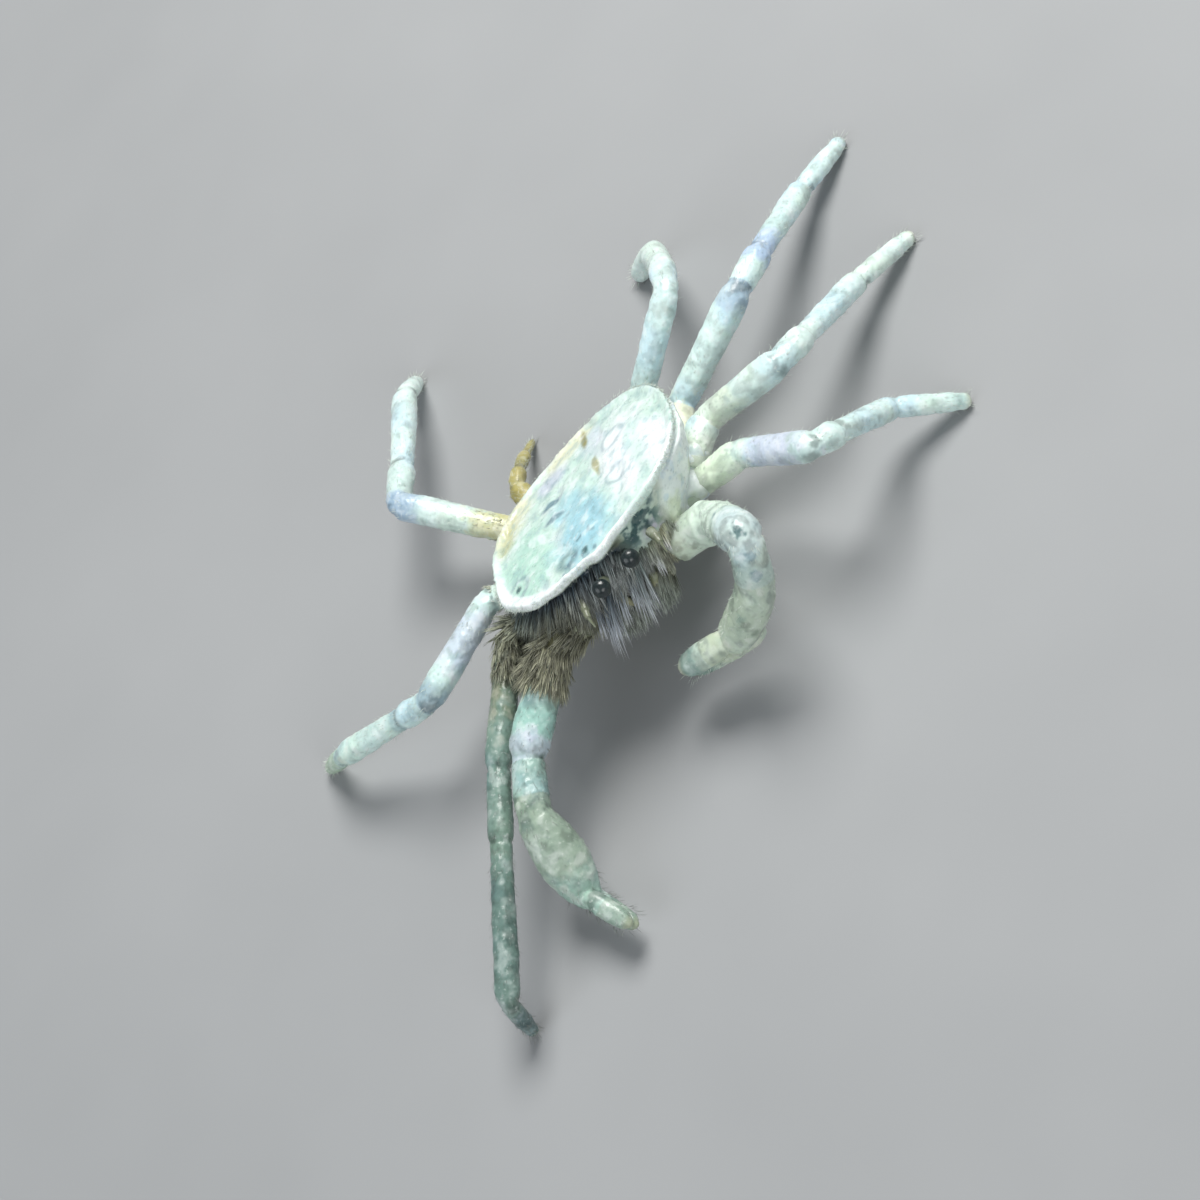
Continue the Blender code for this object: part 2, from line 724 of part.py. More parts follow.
def make_eye(name, side):
    """Short stalk that widens to a round eye, from the face to beside the rostrum."""
    root, tip = on_face(side, (0.56, -3.38, -0.78), (0.66, -4.04, -0.58))
    length = (tip - root).length
    points = [(length * share, 0.0, 0.0) for share, _ in EYE]
    radii = [EYE_RADIUS * width for _, width in EYE]
    fuse(name, [tube(points, radii, 3, 1.0, segment_frame(root, tip))], "eye")


def make_antenna(name, side):
    points = on_face(
        side, (1.50, -3.20, -0.92), (1.55, -3.44, -0.98), (1.58, -3.68, -1.12), (1.57, -3.88, -1.36)
    )
    radii = [ANTENNA_RADIUS * share for share in (1.0, 0.9, 0.68, 0.36)]
    fuse(name, [strap(points, radii, radii, facing_on_body(0, 0, 1), 8)], "limb")


def mouth_plate(side, grow=0.0):
    """Mouth leg folded flat over the mouth, or its cutter, grown all round."""
    points = on_body(side, *MOUTH)
    first = (points[0] - points[1]).normalized()
    last = (points[-1] - points[-2]).normalized()
    points[0] = points[0] + first * grow
    points[-1] = points[-1] + last * grow
    half_widths = [MAXILLIPED_HALF_WIDTH * share + grow for share in MOUTH_SHARES]
    half_depths = [MAXILLIPED_HALF_DEPTH + grow] * len(points)
    return strap(points, half_widths, half_depths, facing_on_body(0, -1, -0.6), 8)


def make_maxilliped(name, side):
    """Mouth leg with a beard of locks on its outer face."""
    pieces = [mouth_plate(side)]
    for x, y, z, length in BEARD:
        root, = on_body(side, (x, y, z))
        way = Vector(BEARD_LIE).normalized()
        facing = facing_on_body(0, -1, 0)
        pieces.append(lock(root, way, DOWN, facing, LOCK_LENGTH * length, BEARD_SINK))
    fuse(name, pieces, "hairy")


def make_abdomen():
    points = on_body(
        1, (0, 3.30, -1.10), (0, 3.12, -1.68), (0, 2.58, -2.28), (0, 1.65, -2.74), (0, 0.60, -2.96),
        (0, -0.40, -3.02)
    )
    half_widths = [ABDOMEN_HALF_WIDTH * share for share in (0.65, 0.91, 1.0, 0.83, 0.57, 0.35)]
    half_depths = [ABDOMEN_HALF_DEPTH] * len(points)
    piece = strap(points, half_widths, half_depths, facing_on_body(0, 0.8, -1), 10)
    fuse("abdomen", [piece], "shield")


for name in LIMBS:
    if LIMBS[name][0] > 1:
        make_leg(name)
for word, side in (("left", 1), ("right", -1)):
    make_eye(word + "_eye", side)
    make_antenna(word + "_antenna", side)
    make_maxilliped(word + "_maxilliped", side)
make_abdomen()
make_claw("left_claw")
make_claw("right_claw")
make_body()
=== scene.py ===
import math

import bpy
import numpy as np
from mathutils import Matrix, Vector


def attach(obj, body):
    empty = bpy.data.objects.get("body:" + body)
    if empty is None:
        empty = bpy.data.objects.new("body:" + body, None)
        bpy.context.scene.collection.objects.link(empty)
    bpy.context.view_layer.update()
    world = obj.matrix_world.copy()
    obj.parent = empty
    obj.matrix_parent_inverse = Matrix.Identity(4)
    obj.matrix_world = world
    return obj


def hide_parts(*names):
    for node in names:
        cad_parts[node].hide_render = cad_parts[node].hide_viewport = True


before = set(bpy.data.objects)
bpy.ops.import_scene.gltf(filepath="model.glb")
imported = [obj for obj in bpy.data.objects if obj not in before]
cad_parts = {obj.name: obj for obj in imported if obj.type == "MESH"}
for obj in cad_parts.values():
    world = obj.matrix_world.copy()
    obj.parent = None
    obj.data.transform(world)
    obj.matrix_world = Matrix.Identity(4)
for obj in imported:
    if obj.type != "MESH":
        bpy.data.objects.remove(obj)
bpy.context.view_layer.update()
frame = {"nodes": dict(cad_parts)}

# Sizes below are millimetres; finished meshes are scaled to metres
MM = 0.001

# Power that turns colours as they are seen into the colours that are painted
DISPLAY_GAMMA = 2.2

# Shield, in its own frame: x to the crab's left, y to its back, z out of the shield
SHIELD_WIDTH = 7.7
SHIELD_FRONT = 3.2
SHIELD_BACK = 3.85
FRONT_SQUARENESS = 2.25
BACK_SQUARENESS = 2.5
SHIELD_TILT = math.radians(24.0)
SHIELD_HEIGHT = 4.1
BODY_DEPTH = 2.3
RIM_RISE = 0.14
DOME_RISE = 0.12
ROSTRUM_LENGTH = 0.22
ROSTRUM_WIDTH = 0.9

# Right front corner of the outline: how far it is drawn forward and aside, where, and how widely
CORNER_REACH = 0.40
CORNER_SPREAD = 0.24
CORNER_MIDDLE = (-2.9, -1.8)
CORNER_WIDTHS = (0.9, 1.0)

# Middle of the span over the legs, from the shield's centre
SPAN_MIDDLE = np.array([-0.41, 0.72, 0.0])

# Roll of the shield, its left side up, and the swelling of the left wall under the raised rim
ROLL_SLOPE = 0.17
ROLL_START = -2.4
ROLL_EASE = 1.5
ROLL_FLOOR = 1.6
SWELL_SHARE = 0.17
SWELL_DEPTH = 0.6
SWELL_REACH = 0.5

# Rim and walls: share of the outline at the sides and the back, share at the front, depth
EDGE = (
    (0.925, 0.925, 0.02),
    (0.965, 0.965, -RIM_RISE),
    (0.990, 0.990, -0.85 * RIM_RISE),
    (1.000, 1.000, 0.00),
    (0.985, 0.990, 0.16),
    (0.900, 0.960, 0.28),
)
WALL = (
    (0.79, 0.93, 0.58),
    (0.73, 0.91, 1.12),
    (0.64, 0.85, 1.62),
    (0.50, 0.72, 1.98),
    (0.32, 0.46, 2.20),
    (0.14, 0.14, BODY_DEPTH),
)
EDGE_DEPTH = EDGE[-1][2]

# Where each pair of limbs leaves the body, for the left side
HIPS = {
    1: (2.1, -2.3, -1.50),
    2: (3.0, -0.8, -1.15),
    3: (3.25, 0.6, -1.00),
    4: (2.9, 1.9, -1.20),
    5: (1.9, 2.8, -1.25),
}

# Segments of a limb, and the widest radius of each
SEGMENTS = 5
LEG_RADII = (0.41, 0.47, 0.43, 0.41, 0.33)
LEG_SHARES = {
    "left_leg_2": (1.22, 1.06, 1.04, 1.0, 1.0),
    "left_leg_3": (1.28, 1.08, 1.06, 1.0, 1.0),
    "left_leg_4": (1.25, 1.08, 1.06, 1.0, 1.0),
    "left_leg_5": (1.12, 1.0, 1.08, 1.15, 1.25),
    "right_leg_2": (0.95, 0.94, 0.94, 0.94, 0.94),
    "right_leg_4": (1.04, 1.02, 1.06, 1.06, 1.04),
    "right_leg_5": (1.15, 1.02, 0.84, 0.70, 0.58),
}
ARM_RADII = (0.50, 0.66, 0.58)
PALM_RADIUS = 0.80
FINGER_RADIUS = 0.40
FINGER_ROOT = 0.50
FINGER_FLATNESS = 0.74
FINGER_CLOSING = 0.72
FINGER_CAMBER = 0.05
FINGER_OPENING = np.array([0.0, -0.35, 0.94])
SOLE_HEIGHT = 0.10
LIMB_FLATNESS = 0.92
LIMB_SIDES = 28
LIMB_ROOT = 0.6
LIMB_STEP = 0.05
CLAW_FLATNESS = (0.95, 0.95, 0.92, 0.82, 0.80)

# Limbs: pair, side, girth, lengths of the segments, compass angle and slope of each in degrees
LIMBS = {
    "left_claw": (
        1, 1, 1.05, (1.0, 3.2, 1.9, 2.5, 2.0),
        ((-15, 14), (-71, 33), (-141, -58), (168, -44), (165, -11)),
    ),
    "right_claw": (
        1, -1, 1.00, (1.3, 3.3, 1.9, 2.8, 1.9),
        ((-173, -2), (-136, -6), (-114, -9), (-96, -39), (-65, -7)),
    ),
    "left_leg_2": (
        2, 1, 1.00, (1.6, 3.2, 1.0, 2.9, 2.5),
        ((-4, 4), (-46, 16), (18, -34), (43, -51), (-16, 0)),
    ),
    "right_leg_2": (
        2, -1, 1.00, (1.5, 4.2, 2.3, 4.9, 2.0),
        ((178, -4), (-124, -4), (-117, -6), (-118, -8), (-165, 0)),
    ),
    "left_leg_3": (
        3, 1, 1.00, (1.2, 3.1, 1.3, 3.1, 2.6),
        ((48, -6), (-9, 11), (31, -24), (40, -31), (27, 0)),
    ),
    "right_leg_3": (
        3, -1, 1.00, (1.4, 3.6, 1.5, 3.2, 2.4),
        ((166, 14), (-151, 2), (154, -24), (157, -20), (136, 0)),
    ),
    "left_leg_4": (
        4, 1, 1.00, (1.7, 4.1, 1.6, 3.3, 2.5),
        ((74, -12), (20, 15), (42, -16), (48, -26), (37, 0)),
    ),
    "right_leg_4": (
        4, -1, 1.00, (1.9, 4.3, 1.7, 3.4, 2.4),
        ((96, -15), (133, 18), (71, -16), (73, -14), (87, 0)),
    ),
    "left_leg_5": (
        5, 1, 0.95, (2.0, 4.1, 1.4, 2.4, 1.8),
        ((89, -10), (29, 24), (82, -17), (99, -35), (146, 0)),
    ),
    "right_leg_5": (
        5, -1, 0.78, (1.0, 1.5, 0.8, 1.3, 1.3),
        ((98, -4), (108, 6), (66, -14), (79, -37), (78, 0)),
    ),
}

# Outlines of segments: share of the length, share of the widest radius
SPINDLE = ((0.00, 0.88), (0.12, 0.90), (0.40, 0.93), (0.72, 1.00), (0.90, 0.99), (1.00, 0.90))
DACTYL = ((0.00, 0.95), (0.12, 1.00), (0.40, 1.00), (0.68, 0.90), (0.88, 0.76), (1.00, 0.64))
PALM = ((0.00, 0.72), (0.12, 0.80), (0.35, 0.96), (0.62, 1.00), (0.84, 0.84), (1.00, 0.62))
BANANA = ((0.00, 0.92), (0.35, 1.00), (0.62, 0.99), (0.84, 0.92), (1.00, 0.84))
FINGER_TIP = ((0.90, 0.80), (0.98, 0.58), (1.02, 0.15))
FINGER = ((-0.12, 0.55), (0.00, 0.92), (0.15, 1.00), (0.45, 0.97), (0.72, 0.90), *FINGER_TIP)
ROOTED_FINGER = ((-0.12, 0.20), (0.05, 0.48), (0.25, 0.78), (0.45, 0.94), (0.72, 0.92), *FINGER_TIP)
PALM_END = ((0.0, 1.0), (1.0, 0.85))
HIP_STUB = ((0.0, 0.7), (0.5, 0.95), (0.9, 1.05), (1.0, 0.9))

# Stubs of the hips on the body: reach inwards and outwards, girth as a share of the limb's own
STUB_INNER = 1.0
STUB_OUTER = 0.22
STUB_GIRTH = 1.14

# Claws: radii of the arm, the palm, share of the finger's radius, outline of the palm, bend of the joints
CLAW_BUILD = {
    "left": ((0.70, 0.66, 0.60), 0.72, 1.20, BANANA, 0.48),
    "right": ((0.56, 0.62, 0.56), 0.82, 0.90, PALM, 0.24),
}
LEG_BEND = 0.13

# Middle lines in the shield's frame: a mouth leg, its feeler, an antenna, an eyestalk and the folded tail
MOUTH = (
    (0.62, -2.84, -1.34), (0.62, -2.70, -1.72), (0.60, -2.36, -2.04),
    (0.57, -1.92, -2.22), (0.55, -1.45, -2.30),
)
FEELER = ((0.62, -3.0, -1.3), (0.5, -3.1, -1.6), (0.34, -2.98, -1.9))
ANTENNA = ((1.46, -3.08, -0.88), (1.55, -3.44, -0.98), (1.58, -3.68, -1.12), (1.57, -3.88, -1.36))
EYESTALK = ((0.56, -3.28, -0.80), (0.66, -4.04, -0.58))
TAIL = (
    (0, 3.30, -1.10), (0, 3.12, -1.68), (0, 2.58, -2.28),
    (0, 1.65, -2.74), (0, 0.60, -2.96), (0, -0.40, -3.02),
)

# Sizes of these small parts: widest reach, its shares along the line, thickness
MOUTH_WIDTH = 0.42
MOUTH_WIDTHS = (0.7, 0.95, 1.0, 0.9, 0.64)
MOUTH_DEPTH = 0.25
FEELER_WIDTHS = (0.15, 0.09)
FEELER_DEPTH = 0.10
ANTENNA_SHARES = (0, 0.30, 0.34, 0.60, 0.64, 1.0)
ANTENNA_WIDTHS = (0.17, 0.14, 0.11, 0.10, 0.055, 0.02)
EYE_RADIUS = 0.29
EYE_SHARES = (0.0, 0.25, 0.40, 0.50, 0.60, 0.70, 0.80, 0.90, 0.97, 1.0)
EYE_WIDTHS = (0.66, 0.66, 0.74, 0.88, 0.97, 1.0, 0.94, 0.74, 0.42, 0.16)
TAIL_WIDTH = 1.15
TAIL_WIDTHS = (0.65, 0.91, 1.0, 0.83, 0.57, 0.35)
TAIL_DEPTH = 0.45
TAIL_INSET = 0.20
TAIL_SEAMS = (0.16, 0.32, 0.48, 0.64, 0.80)

SKIN_VOXEL = 0.046
PLATE_VOXEL = 0.040

# Rings of the body: points round it, rows of the shield, rows of its rim and walls
BODY_SIDES = 200
SHIELD_ROWS = 46
WALL_ROWS = 90

# Colours, as they are seen
MINT = (0.72, 0.88, 0.82)
CYAN = (0.66, 0.84, 0.89)
ICE = (0.96, 0.99, 1.00)
LAVENDER = (0.80, 0.82, 0.90)
CREAM = (0.91, 0.91, 0.79)
OLIVE = (0.56, 0.53, 0.32)
TEAL = (0.24, 0.36, 0.37)
SLATE = (0.42, 0.53, 0.58)
# Dark navy used for painted shade under the front rim
RIM_SHADE_NAVY = (0.19, 0.26, 0.33)
BROWN = (0.42, 0.41, 0.29)
MIST = (0.78, 0.90, 0.93)

# Patches on the shield: centre, reach across and along, colour, strength
SHIELD_PATCHES = (
    (-2.6, -0.7, 1.4, 2.1, MINT, 0.85),
    (-0.25, -1.4, 1.45, 2.3, CYAN, 1.00),
    (-0.7, 0.4, 0.9, 0.9, CYAN, 0.50),
    (1.75, 0.4, 1.30, 2.9, ICE, 1.00),
    (0.9, 2.4, 0.7, 1.2, LAVENDER, 0.45),
    (2.35, 0.1, 0.40, 1.7, MINT, 0.40),
    (3.1, -1.2, 0.7, 2.0, ICE, 0.80),
    (-1.0, 2.7, 0.7, 0.6, LAVENDER, 0.75),
    (0.0, 3.5, 1.5, 0.7, CREAM, 0.90),
    (-2.7, 2.7, 1.0, 1.2, CREAM, 0.90),
    (-3.2, 1.8, 0.6, 1.1, (0.78, 0.77, 0.58), 0.80),
    (-2.9, 3.1, 0.6, 0.7, (0.74, 0.71, 0.50), 0.75),
    (0.60, 3.0, 0.15, 0.70, OLIVE, 0.90),
    (0.78, 1.0, 0.15, 0.65, OLIVE, 0.75),
    (-1.18, 1.32, 0.50, 0.16, SLATE, 0.85),
    (-1.22, 0.42, 0.46, 0.15, SLATE, 0.80),
    (-0.46, -2.59, 0.16, 0.20, TEAL, 0.85),
    (-3.11, -1.30, 0.15, 0.17, TEAL, 0.90),
    (-2.27, -2.5, 0.5, 0.35, ICE, 0.60),
)

# Ring marks on the shield: centre, radius, half width, colour, strength
SHIELD_RINGS = (
    (-3.11, -1.30, 0.42, 0.09, SLATE, 0.50),
    (-1.14, -2.23, 0.30, 0.15, TEAL, 0.45),
    (1.63, 1.42, 0.46, 0.09, SLATE, 0.35),
    (1.36, -0.48, 0.40, 0.09, SLATE, 0.35),
)

# Patches round the limbs: segments passed since the hip, reach in segments, colour, strength
LIMB_PATCHES = {
    "left_leg_4": (
        (1.97, 0.16, (0.62, 0.71, 0.80), 0.60), (2.95, 0.35, (0.70, 0.79, 0.91), 0.85),
        (0.60, 0.50, CREAM, 0.80),
    ),
    "left_leg_3": (
        (1.20, 0.35, (0.90, 0.93, 0.82), 0.60), (2.10, 0.40, MIST, 0.60), (3.50, 0.45, MIST, 0.50),
    ),
    "left_leg_2": (
        (1.55, 0.45, LAVENDER, 0.80), (3.40, 0.45, MIST, 0.50), (0.60, 0.60, (0.87, 0.93, 0.82), 0.70),
    ),
    "left_leg_5": ((1.60, 0.45, MIST, 0.45),),
    "right_leg_4": ((2.00, 0.22, (0.58, 0.68, 0.78), 0.85), (0.90, 0.55, (0.82, 0.80, 0.56), 0.85)),
    "right_leg_3": (
        (2.00, 0.20, (0.56, 0.66, 0.72), 0.70), (3.00, 0.16, SLATE, 0.35), (1.40, 0.35, LAVENDER, 0.60),
        (4.50, 0.60, (0.66, 0.76, 0.62), 0.70),
    ),
    "right_leg_2": (
        # The brown root is the leg's own colour; the darker grey-green far segments are painted shade
        (0.60, 1.10, BROWN, 0.80), (3.60, 0.60, (0.36, 0.46, 0.44), 0.60),
        (4.60, 0.50, (0.30, 0.40, 0.41), 0.80),
    ),
    "right_claw": (
        (0.80, 0.75, BROWN, 0.95), (1.70, 0.22, (0.65, 0.82, 0.78), 0.80), (1.92, 0.12, LAVENDER, 0.60),
        # Darker palm and fingers: painted shade, as this claw lies away from the light
        (3.30, 0.55, (0.60, 0.65, 0.57), 0.65), (4.70, 0.45, (0.55, 0.62, 0.56), 0.65),
    ),
    "left_claw": (
        (1.30, 0.30, (0.84, 0.91, 0.86), 0.60), (1.95, 0.35, (0.82, 0.89, 0.91), 0.60),
        (2.60, 0.30, (0.66, 0.75, 0.73), 0.50), (3.40, 0.60, (0.70, 0.76, 0.67), 0.70),
        (4.20, 0.35, (0.72, 0.76, 0.65), 0.65), (4.78, 0.24, (0.38, 0.50, 0.47), 0.75),
        (0.60, 0.90, (0.86, 0.93, 0.87), 0.80),
    ),
}

# Way from the middle of a claw to its upper side, and single dark spots there: place in segments,
# reach, colour, strength
UPPER_SIDE = 0.62 * np.array([0.22, -0.60, 0.77])
LIMB_SPOTS = {
    "left_claw": (
        (1.80, 0.24, TEAL, 0.80), (1.35, 0.12, SLATE, 0.50), (2.42, 0.20, SLATE, 0.50),
        (2.75, 0.18, SLATE, 0.55), (3.55, 0.22, (0.50, 0.60, 0.56), 0.50),
    ),
    "right_claw": ((1.78, 0.24, LAVENDER, 0.50), (2.30, 0.22, (0.50, 0.62, 0.58), 0.45)),
}

# Tint of each limb's shell; the right claw and the right second leg are darker as painted shade
LIMB_TINTS = {
    "left_claw": (0.78, 0.85, 0.80),
    # Darker than the left claw: painted shade, as this claw lies away from the light
    "right_claw": (0.63, 0.75, 0.71),
    "left_leg_2": (0.86, 0.95, 0.93),
    # Darker grey-green: painted shade, as this leg lies away from the light
    "right_leg_2": (0.48, 0.58, 0.54),
    "left_leg_3": (0.87, 0.95, 0.93),
    "right_leg_3": (0.83, 0.93, 0.91),
    "left_leg_4": (0.86, 0.95, 0.94),
    "right_leg_4": (0.86, 0.94, 0.92),
    "left_leg_5": (0.86, 0.94, 0.92),
    "right_leg_5": (0.70, 0.66, 0.42),
}

# Strength of the fine dark stains on a limb
PLAIN_STAIN = 0.11
STAINS = {"left_claw": 0.18, "right_claw": 0.15, "right_leg_2": 0.16}


# Vectors, noise and steps

UPWARD = np.array([0.0, 0.0, 1.0])
TILT_COSINE = math.cos(SHIELD_TILT)
TILT_SINE = math.sin(SHIELD_TILT)


def unit(vector):
    return vector / np.linalg.norm(vector)


def heading(azimuth, slope):
    turn = math.radians(azimuth)
    rise = math.radians(slope)
    return np.array([math.cos(rise) * math.cos(turn), math.cos(rise) * math.sin(turn), math.sin(rise)])


def to_row(points):
    """Points of the shield's frame in the row's frame."""
    x, y, z = np.atleast_2d(np.asarray(points, float)).T
    turned = (x, y * TILT_COSINE + z * TILT_SINE, z * TILT_COSINE - y * TILT_SINE + SHIELD_HEIGHT)
    return np.stack(turned, axis=1) - SPAN_MIDDLE


def in_row(*point):
    return to_row(point)[0]


def to_shield(points):
    """Points of the row's frame in the shield's frame."""
    x, y, z = (np.atleast_2d(points) + SPAN_MIDDLE - SHIELD_HEIGHT * UPWARD).T
    return np.stack([x, y * TILT_COSINE - z * TILT_SINE, y * TILT_SINE + z * TILT_COSINE], axis=1)


def joints_of(limb):
    """Places of a limb's joints from hip to tip; a leg's last slope brings its tip to the floor."""
    pair, side, _, lengths, headings = LIMBS[limb]
    x, y, z = HIPS[pair]
    points = [in_row(side * x, y, z)]
    for length, (azimuth, slope) in zip(lengths, headings):
        if pair > 1 and len(points) == len(lengths):
            slope = -math.degrees(math.asin(min((points[-1][2] - SOLE_HEIGHT) / length, 1.0)))
        points.append(points[-1] + heading(azimuth, slope) * length)
    return np.array(points)


def lattice_noise(points, size, seed=0):
    """Smooth noise from -1 to 1 with features of the given size."""
    spots = points / size + 37.3 * (seed + 1)
    corner = np.floor(spots).astype(np.int64)
    part = spots - corner
    part = part * part * (3.0 - 2.0 * part)
    total = np.zeros(len(points))
    for step in np.ndindex(2, 2, 2):
        i, j, k = (corner + np.array(step)).T
        mixed = (i * 73856093) ^ (j * 19349663) ^ (k * 83492791) ^ (seed * 2654435761)
        mixed = ((mixed ^ (mixed >> 13)) * 1274126177) & 0x7FFFFFFF
        value = (mixed ^ (mixed >> 16)) % 65536 / 32768.0 - 1.0
        total += value * np.prod(np.where(step, part, 1 - part), axis=1)
    return total


def fractal(points, size, seed=0, octaves=3):
    """Noise of several sizes, each half the one before and half as strong."""
    return sum(lattice_noise(points, size / 2 ** n, seed + n) / 2 ** n for n in range(octaves))


def eased(low, high, values):
    """Smooth rise from 0 at the low value to 1 at the high one."""
    part = np.clip((values - low) / (high - low), 0.0, 1.0)
    return part * part * (3.0 - 2.0 * part)


def bell(distance, width):
    return np.exp(-((distance / width) ** 2))


def averaged(row, weights):
    """Running mean of a row of numbers."""
    padded = np.pad(row, len(weights) // 2, mode="edge")
    return np.convolve(padded, np.array(weights) / sum(weights), mode="valid")


def smooth_line(points, count):
    """Points along a smooth curve through the given ones."""
    points = np.asarray(points, float)
    padded = np.vstack([2 * points[0] - points[1], points, 2 * points[-1] - points[-2]])
    out = []
    for place in np.linspace(0, len(points) - 1, count):
        index = min(int(place), len(points) - 2)
        t = place - index
        a, b, c, d = padded[index:index + 4]
        bent = (2 * a - 5 * b + 4 * c - d) * t * t + (3 * b - a - 3 * c + d) * t ** 3
        out.append(0.5 * (2 * b + (c - a) * t + bent))
    return np.array(out)


# Meshes

def mesh_of(name, vertices, faces):
    mesh = bpy.data.meshes.new(name)
    mesh.from_pydata([tuple(v) for v in vertices], [], faces)
    mesh.update()
    return mesh


def rows_of(items, field):
    """One vector of each item of a mesh, as the rows of an array."""
    out = np.empty(len(items) * 3)
    items.foreach_get(field, out)
    return out.reshape(-1, 3)


def grid_faces(rows, columns, start=0):
    """Quads of a closed tube of rings, with a fan to a point at each end."""
    faces = []
    first = start + rows * columns
    last = start + (rows - 1) * columns
    around = [(here, (here + 1) % columns) for here in range(columns)]
    for low in range(start, last, columns):
        for here, there in around:
            faces.append((low + here, low + there, low + columns + there, low + columns + here))
    for here, there in around:
        faces.append((first, start + there, start + here))
        faces.append((first + 1, last + here, last + there))
    return faces


class Solid:
    """Closed shells gathered into one mesh, in millimetres."""

    def __init__(self):
        self.vertices = []
        self.faces = []
        self.count = 0

    def rings(self, rings, first, last):
        rings = np.asarray(rings)
        rows, columns, _ = rings.shape
        self.vertices.append(np.concatenate([rings.reshape(-1, 3), [first], [last]]))
        self.faces += grid_faces(rows, columns, self.count)
        self.count += rows * columns + 2

    def mesh(self, name):
        return mesh_of(name, np.concatenate(self.vertices), self.faces)


def squared_waves(turn, power=1.0):
    """Cosine and sine of a turn, squared off by a power below 1."""
    return [np.sign(wave) * np.abs(wave) ** power for wave in (np.cos(turn), np.sin(turn))]


def ring_waves(sides, power=1.0):
    return squared_waves(np.linspace(0, 2 * math.pi, sides, endpoint=False), power)


def section_frame(along, up=UPWARD):
    across = np.cross(up, along)
    if np.linalg.norm(across) < 1e-6:
        across = np.array([0.0, 1.0, 0.0])
    across = unit(across)
    return across, np.cross(along, across)


def ring_at(middle, frame, waves, reach, flat=1.0):
    """One ring of a tube, flattened by its share of the reach."""
    return middle + reach * (np.outer(waves[0], frame[0]) + flat * np.outer(waves[1], frame[1]))


def add_segment(solid, start, end, radius, outline, flat=1.0, up=UPWARD, camber=0.0, sides=24):
    """Segment whose outline is read from a table, with a camber upwards and a flattened section."""
    line = end - start
    section = section_frame(unit(line), up)
    shares, widths = np.array(outline).T
    steps = np.linspace(shares[0], shares[-1], 40)
    wide = averaged(np.interp(steps, shares, widths), (1, 2, 3, 2, 1)) * radius
    waves = ring_waves(sides)
    rings = []
    for step, reach in zip(steps, wide):
        middle = start + line * step + section[1] * camber * math.sin(math.pi * min(max(step, 0.0), 1.0))
        rings.append(ring_at(middle, section, waves, reach, flat))
    solid.rings(rings, start + line * (steps[0] - 0.01), start + line * (steps[-1] + 0.01))


def add_tube(solid, line, widths, flats, sides, up=UPWARD, power=1.0):
    """Tube along a line of points, with the reach and the flatness at each of them."""
    waves = ring_waves(sides, power)
    rings = []
    for index, point in enumerate(line):
        along = unit(line[min(index + 1, len(line) - 1)] - line[max(index - 1, 0)])
        rings.append(ring_at(point, section_frame(along, up), waves, widths[index], flats[index]))
    solid.rings(rings, line[0], line[-1])


def remeshed(name, solid, voxel=SKIN_VOXEL, smoothing=3):
    """The shells as one lightly smoothed skin in millimetres, with its places and normals."""
    draft = bpy.data.objects.new(name, solid.mesh(name))
    bpy.context.scene.collection.objects.link(draft)
    remesh = draft.modifiers.new("remesh", "REMESH")
    remesh.mode = "VOXEL"
    remesh.voxel_size = voxel
    relax = draft.modifiers.new("smooth", "SMOOTH")
    relax.factor = 0.5
    relax.iterations = smoothing
    bpy.context.view_layer.update()
    seen = draft.evaluated_get(bpy.context.evaluated_depsgraph_get())
    mesh = bpy.data.meshes.new_from_object(seen)
    bpy.data.objects.remove(draft, do_unlink=True)
    mesh.name = name
    return mesh, rows_of(mesh.vertices, "co"), rows_of(mesh.vertex_normals, "vector")


def raised(spots, normals, lift):
    return spots + normals * lift[:, None]


def link_object(name, content):
    item = bpy.data.objects.new(name, content)
    bpy.context.scene.collection.objects.link(item)
    return item


def finish_piece(name, mesh, spots, tint, material, slot, *nodes):
    """Sets the final places and colours, scales to metres and puts the piece in the scene."""
    mesh.vertices.foreach_set("co", (spots * MM).ravel())
    paint = mesh.color_attributes.new("Tint", "FLOAT_COLOR", "POINT")
    colours = np.ones((len(spots), 4))
    colours[:, :3] = np.clip(tint, 0.0, 1.0) ** DISPLAY_GAMMA
    paint.data.foreach_set("color", colours.ravel())
    mesh.shade_smooth()
    mesh.update()
    mesh.materials.clear()
    mesh.materials.append(material)
    piece = link_object(name, mesh)
    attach(piece, "root")
    if nodes:
        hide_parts(*nodes)


def layered(tint, *layers):
    """A tint with further colours laid over it, each with its weight at every place."""
    for colour, weight in layers:
        tint = tint + np.asarray(weight)[:, None] * (np.array(colour) - tint)
    return tint


# Materials

def feed(tree, socket, value):
    """Links a socket to another or sets its value."""
    if isinstance(value, bpy.types.NodeSocket):
        tree.links.new(value, socket)
    else:
        socket.default_value = value


def add_node(tree, kind, settings=(), **inputs):
    node = tree.nodes.new(kind)
    for key, value in dict(settings).items():
        setattr(node, key, value)
    for key, value in inputs.items():
        feed(tree, node.inputs[key.replace("_", " ")], value)
    return node


def start_material(name):
    """A new material with only its output node, and the place of each point in the object."""
    material = bpy.data.materials.new(name)
    material.use_nodes = True
    tree = material.node_tree
    for node in list(tree.nodes):
        if node.type != "OUTPUT_MATERIAL":
            tree.nodes.remove(node)
    return material, tree, add_node(tree, "ShaderNodeTexCoord").outputs["Object"]


def finish_material(tree, **inputs):
    shader = add_node(tree, "ShaderNodeBsdfPrincipled", **inputs)
    output = next(node for node in tree.nodes if node.type == "OUTPUT_MATERIAL")
    tree.links.new(shader.outputs["BSDF"], output.inputs["Surface"])


def painted_tint(tree):
    return add_node(tree, "ShaderNodeAttribute", {"attribute_name": "Tint"}).outputs["Color"]


